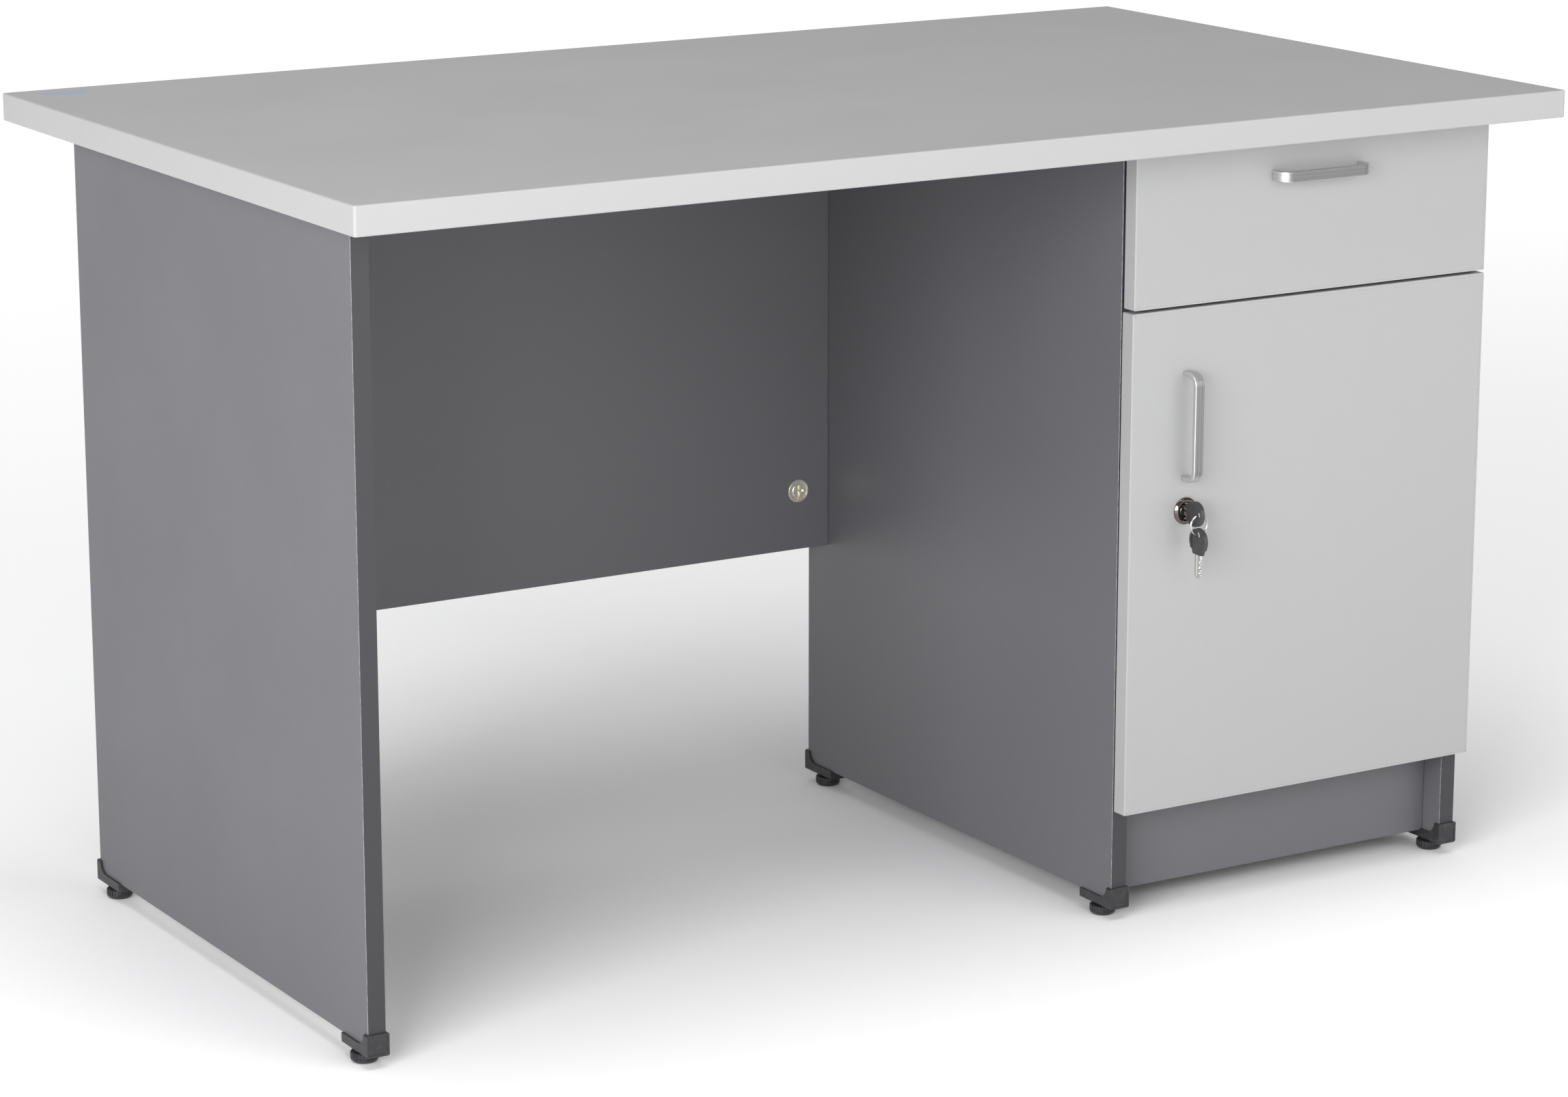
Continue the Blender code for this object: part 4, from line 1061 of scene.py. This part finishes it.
for side in (-1, 1):
    cut = sorted((side * (HEAD_THICK / 2 - RIM_DEEP), side * HEAD_THICK))
    middle = (HEAD_RADIUS, 0, sum(cut) / 2)
    carve(head, rod("sunk_face", middle, sunk, cut[1] - cut[0], "Z", 64))
    for start, half in ((HEAD_RADIUS, sunk - RIM_FADE), (SHOULDER_AT + 0.0001, 0.02)):
        carve(head, block("sunk_neck", (start, -half, cut[0]), (0.03, half, cut[1])))
carve(head, rod("ring_hole", (RING_HOLE_AT, 0, 0), RING_HOLE, 0.02, "Z", 32))
tidy(head)
round_edges(head, 0.00028, 2, 30)
print("key head:", [round(value, 4) for value in head.dimensions])

# %% Key blade, with a pointed tip, three bites and a milled groove on each side
BLADE_START, BLADE_SHOULDER, BLADE_TIP, BLADE_HALF = 0.0243, 0.0430, 0.0460, 0.0042
BLADE_THICK, MILL_DEEP, MILL_END = 0.0018, 0.0004, 0.0442
BITES, FIRST_BITE, BITE_STEP, BITE_OUT = (0.0013, 0.0019, 0.0013), 0.006, 0.005, 0.0004

half_thick = Vector((0, BLADE_HALF, BLADE_THICK / 2))
blade = block(
    "key_blade_pattern",
    Vector((BLADE_START, 0, 0)) - half_thick,
    Vector((BLADE_SHOULDER, 0, 0)) + half_thick,
)
edit(blade)
pick("FACE", lambda middle, normal: normal.x > 0.9)
sweep((BLADE_TIP - BLADE_SHOULDER, 0, 0))
bpy.ops.transform.resize(value=(1, 0.25, 0.7), center_override=(BLADE_TIP, 0, 0))
clear()
for number, bite in enumerate(BITES):
    at = (BLADE_START + FIRST_BITE + BITE_STEP * number, -BLADE_HALF - BITE_OUT, 0)
    carve(blade, rod("bite", at, bite + BITE_OUT, 0.01, "Z", 20))
for side in (-1, 1):
    wall = sorted((side * (BLADE_THICK / 2 - MILL_DEEP), side * 0.01))
    groove_low, groove_high = (BLADE_START - 0.001, -0.0004, wall[0]), (MILL_END, 0.0011, wall[1])
    carve(blade, block("milled_groove", groove_low, groove_high))
tidy(blade)
round_edges(blade, 0.0001, 1, 30)
print("key blade:", [round(value, 4) for value in blade.dimensions])

# %% The key in the lock, and the spare one that hangs from the ring
SIDE_ON = (math.pi / 2, 0, math.pi / 2)
key_end = Vector((lock_at.x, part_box("key_head")[0].y, lock_at.z))
spare_end = Vector((lock_at.x, key_end.y + RING_HOLE_AT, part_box("spare_key_head")[1].z))
for prefix, body, at, hangs in (
    ("key", "lock_and_key", key_end, False),
    ("spare_key", "spare_key", spare_end, True),
):
    for part, pattern, paint, slot in (
        ("head", head, KEY_PLASTIC, "black_plastic"),
        ("blade", blade, NICKEL, "nickel"),
    ):
        twin = copy(pattern, f"{prefix}_{part}_shaped")
        if hangs:
            set_down(twin, turn=(0, 0, -math.pi / 2))
        set_down(twin, at, SIDE_ON)
        place(twin, body, paint, slot, f"{prefix}_{part}")
for pattern in (head, blade):
    bpy.data.objects.remove(pattern)

# %% Split ring: almost two turns of wire, side by side
WIRE, RING_TURNS, WIRE_PITCH = 0.00040, 1.9, 0.00084
low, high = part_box("key_ring")
RING_RADIUS = (high.x - low.x) / 2 - 0.0006
clear()
bpy.ops.mesh.primitive_circle_add(
    vertices=10, radius=WIRE, location=(RING_RADIUS, 0, 0), rotation=FRONT, fill_type="NOTHING"
)
ring = settle("split_ring")
apply(
    ring,
    "SCREW",
    axis="Z",
    angle=2 * math.pi * RING_TURNS,
    screw_offset=WIRE_PITCH * RING_TURNS,
    steps=90,
    render_steps=90,
    use_normal_calculate=True,
)
edit(ring)
pick_all()
bpy.ops.mesh.fill_holes(sides=0)
clear()
tidy(ring)
set_down(ring, (0, 0, -WIRE_PITCH * RING_TURNS / 2))
set_down(ring, centre_of("key_ring"), FRONT)
place(ring, "key_ring", NICKEL, "nickel", "key_ring")

# %% [markdown]
# ## Concealed hinges and their screws
#
# Each hinge is a pressed cup let into the door, an arm, and a plate on the pedestal's side. The
# cup is turned and its wings are joined on. The arm and plate keep the frame's outline: a copy of
# the frame's mesh is cleaned to flat faces, and its edges are rounded as pressed steel has them.

# %% Pieces that keep the frame's outline
def refined(name, width, body, paint, slot, segments=2, angle=30):
    """A copy of a node's mesh with clean flat faces and rounded edges, in the node's place."""
    piece = copy(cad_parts[name], f"{name}_finished")
    piece.hide_render = False
    tidy(piece)
    edit(piece)
    pick_all()
    bpy.ops.mesh.dissolve_limited(angle_limit=math.radians(2))
    clear()
    round_edges(piece, width, segments, angle)
    return place(piece, body, paint, slot, name)


for level in ("lower", "upper"):
    refined(f"hinge_arm_{level}", 0.0012, "desk", STEEL, "plated_steel")
    refined(f"hinge_plate_{level}", 0.0005, "desk", STEEL, "plated_steel")
refined("lock_strike", 0.0003, "desk", STEEL, "plated_steel", 1)
refined("lock_nut", 0.0003, "door", ZINC, "zinc", 1, 40)
refined("lock_cam", 0.0003, "lock_and_key", ZINC, "zinc", 1, 40)

# %% Hinge cups
CUP, CUP_LIP, CUP_SET_IN = 0.0175, 0.0193, 0.0195
SHEET_UNDER, SHEET_OVER = 0.0003, 0.0013
WING_CORNER, WING_SCREWS, PLATE_SCREWS = 0.0035, 0.0225, 0.0165
ARM_SCREWS_Y, PLATE_SCREWS_Y, PLATE_FACE = (-0.216, -0.244), -0.234, 0.5570

for level in ("lower", "upper"):
    low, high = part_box(f"hinge_cup_{level}")
    centre = Vector((high.x - CUP_SET_IN, fronts_back, (low.z + high.z) / 2))
    cup = stack(
        f"hinge_cup_{level}_pressed",
        [
            (CUP - 0.0016, -0.0110),
            (CUP - 0.0004, -0.0105),
            (CUP, -0.0095),
            (CUP, SHEET_UNDER),
            (CUP_LIP, SHEET_UNDER),
            (CUP_LIP, SHEET_OVER),
            (CUP - 0.0004, SHEET_OVER),
            (CUP - 0.0010, 0.0007),
        ],
        64,
    )
    set_down(cup, centre, BACK)
    wings = block(
        "wings",
        (centre.x - 0.0075, fronts_back + SHEET_UNDER, low.z),
        (centre.x + 0.0055, fronts_back + SHEET_OVER, high.z),
    )
    carve(cup, round_corners(wings, 1, WING_CORNER, 5), "UNION")
    carve(cup, rod("cup_hollow", centre, CUP - 0.0010, 0.0200, "Y", 64))
    round_edges(cup, 0.0002, 1, 30)
    place(cup, "door", STEEL, "plated_steel", f"hinge_cup_{level}")
    wing_y = fronts_back + SHEET_OVER + HAIR
    seats = [(centre.x - 0.001, wing_y, centre.z + side * WING_SCREWS) for side in (-1, 1)]
    heads = screw_heads(0.0033, 0.0013, BACK, seats)
    place(join(f"hinge_wing_screws_{level}", heads), "door", STEEL, "plated_steel")
    arm_x, plate_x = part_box(f"hinge_arm_{level}")[0].x - HAIR, PLATE_FACE - HAIR
    heads = screw_heads(0.0036, 0.0014, LEFT, [(arm_x, y, centre.z) for y in ARM_SCREWS_Y])
    seats = [(plate_x, PLATE_SCREWS_Y, centre.z + side * PLATE_SCREWS) for side in (-1, 1)]
    heads += screw_heads(0.0040, 0.0018, LEFT, seats)
    place(join(f"hinge_fixing_screws_{level}", heads), "desk", STEEL, "plated_steel")

# %% [markdown]
# ## Runners, shelf pins and label
#
# The runners are folded steel channels, and the pins are turned. Their shapes in the frame are
# right, and only their edges are eased. The blank paper label lies on the top's rear left corner.

# %% Runners and pins
for side in ("left", "right"):
    for part, body in (("outer", "desk"), ("middle", f"runner_middle_{side}"), ("inner", "drawer")):
        refined(f"runner_{part}_{side}", 0.0004, body, STEEL, "plated_steel")
    for end in ("front", "rear"):
        refined(f"shelf_pin_{side}_{end}", 0.0002, "desk", STEEL, "plated_steel", 1, 40)

# %% Label
LABEL_PAPER = laminate("blank_label", (0.300, 0.352, 0.404, 1), 0.03, 0.35, 0.000005)
LABEL_LONG, LABEL_WIDE, LABEL_THICK, LABEL_CORNER = 0.040, 0.028, 0.00015, 0.0015
low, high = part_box("desktop")
label_low = Vector((low.x + 0.030, high.y - 0.046, high.z))
label_high = label_low + Vector((LABEL_LONG, LABEL_WIDE, LABEL_THICK))
label = round_corners(block("blank_label", label_low, label_high), 2, LABEL_CORNER, 3)
place(label, "desk", LABEL_PAPER, "light_grey_laminate")

# %% [markdown]
# ## Floor, lights and camera
#
# The desk stands on a pale floor in a bright studio. Large soft lights at the front and at the
# left light the upright faces more than the top, and a bright surround fills the shadows. Away
# from the desk the floor glows a little, so that it meets the white surround without a line.

# %% Floor
FLOOR_GLOW, GLOW_STARTS, GLOW_FULL = 0.66, 1.0, 5.0
clear()
bpy.ops.mesh.primitive_plane_add(size=60.0)
floor = settle("studio_floor")
floor_paint = bpy.data.materials.new("studio_floor")
floor_paint.use_nodes = True
floor_tree = floor_paint.node_tree
floor_shader = floor_tree.nodes["Principled BSDF"]
floor_shader.inputs["Base Color"].default_value = (0.95, 0.95, 0.95, 1)
floor_shader.inputs["Roughness"].default_value = 0.9
floor_shader.inputs["Specular IOR Level"].default_value = 0.1
floor_shader.inputs["Emission Color"].default_value = (1, 1, 1, 1)
floor_seat = node(floor_tree, "ShaderNodeTexCoord").outputs["Object"]
away = node(floor_tree, "ShaderNodeVectorMath", [(0, floor_seat)], operation="LENGTH")
glow = span(floor_tree, away.outputs["Value"], GLOW_STARTS, GLOW_FULL, 0.0, FLOOR_GLOW)
floor_tree.links.new(glow, floor_shader.inputs["Emission Strength"])
floor.data.materials.append(floor_paint)
print("floor:", round(floor.dimensions.x), "m wide")

# %% Surround: it looks white, and lights the desk with a third of that
FILL = 0.330
world = bpy.data.worlds.new("studio")
world.use_nodes = True
background = world.node_tree.nodes["Background"]
background.inputs["Color"].default_value = (1, 1, 1, 1)
seen = node(world.node_tree, "ShaderNodeLightPath").outputs["Is Camera Ray"]
strength = span(world.node_tree, seen, 0.0, 1.0, FILL, 1.0)
world.node_tree.links.new(strength, background.inputs["Strength"])
bpy.context.scene.world = world
bpy.context.scene.view_settings.view_transform = "Standard"

# %% Lights
AIM = Vector((0.0, 0.0, 0.42))


def softbox(name, azimuth, elevation, distance, size, power, colour=(1, 1, 1)):
    """An area light on a circle round the desk. Azimuth 0 is in front, 90 on the right."""
    around, up = math.radians(azimuth), math.radians(elevation)
    way = Vector((math.sin(around) * math.cos(up), -math.cos(around) * math.cos(up), math.sin(up)))
    light = bpy.data.lights.new(name, "AREA")
    light.shape = "RECTANGLE"
    light.size, light.size_y = size
    light.energy = power
    light.color = colour
    lamp = bpy.data.objects.new(name, light)
    lamp.location = AIM + way * distance
    lamp.rotation_euler = (-way).to_track_quat("-Z", "Y").to_euler()
    bpy.context.scene.collection.objects.link(lamp)


softbox("front_light", 15, 18, 4.6, (3.2, 2.2), 48)
softbox("right_front_light", 40, 12, 4.6, (3.2, 2.2), 25)
softbox("left_light", -54, 14, 4.4, (2.6, 2.2), 180, (0.985, 0.985, 1.0))
softbox("top_light", -20, 78, 4.0, (3.0, 3.0), 96)
softbox("back_light", 180, 50, 4.0, (3.0, 3.0), 16)
print("lights:", len(bpy.data.lights))

# %% Camera: a long lens, tilted down, without roll
SENSOR, LENS = 36.0, 105.0209
LOOKS_DOWN, LOOKS_RIGHT = 13.824, 31.302
camera_data = bpy.data.cameras.new("camera")
camera_data.sensor_width = SENSOR
camera_data.lens = LENS
camera = bpy.data.objects.new("camera", camera_data)
camera.location = (-2.1421, -3.5199, 1.3278)
camera.rotation_euler = (math.radians(90 - LOOKS_DOWN), 0, math.radians(-LOOKS_RIGHT))
bpy.context.scene.collection.objects.link(camera)
bpy.context.scene.camera = camera
print("camera:", LENS, "mm,", LOOKS_DOWN, "degrees down,", LOOKS_RIGHT, "degrees to the right")
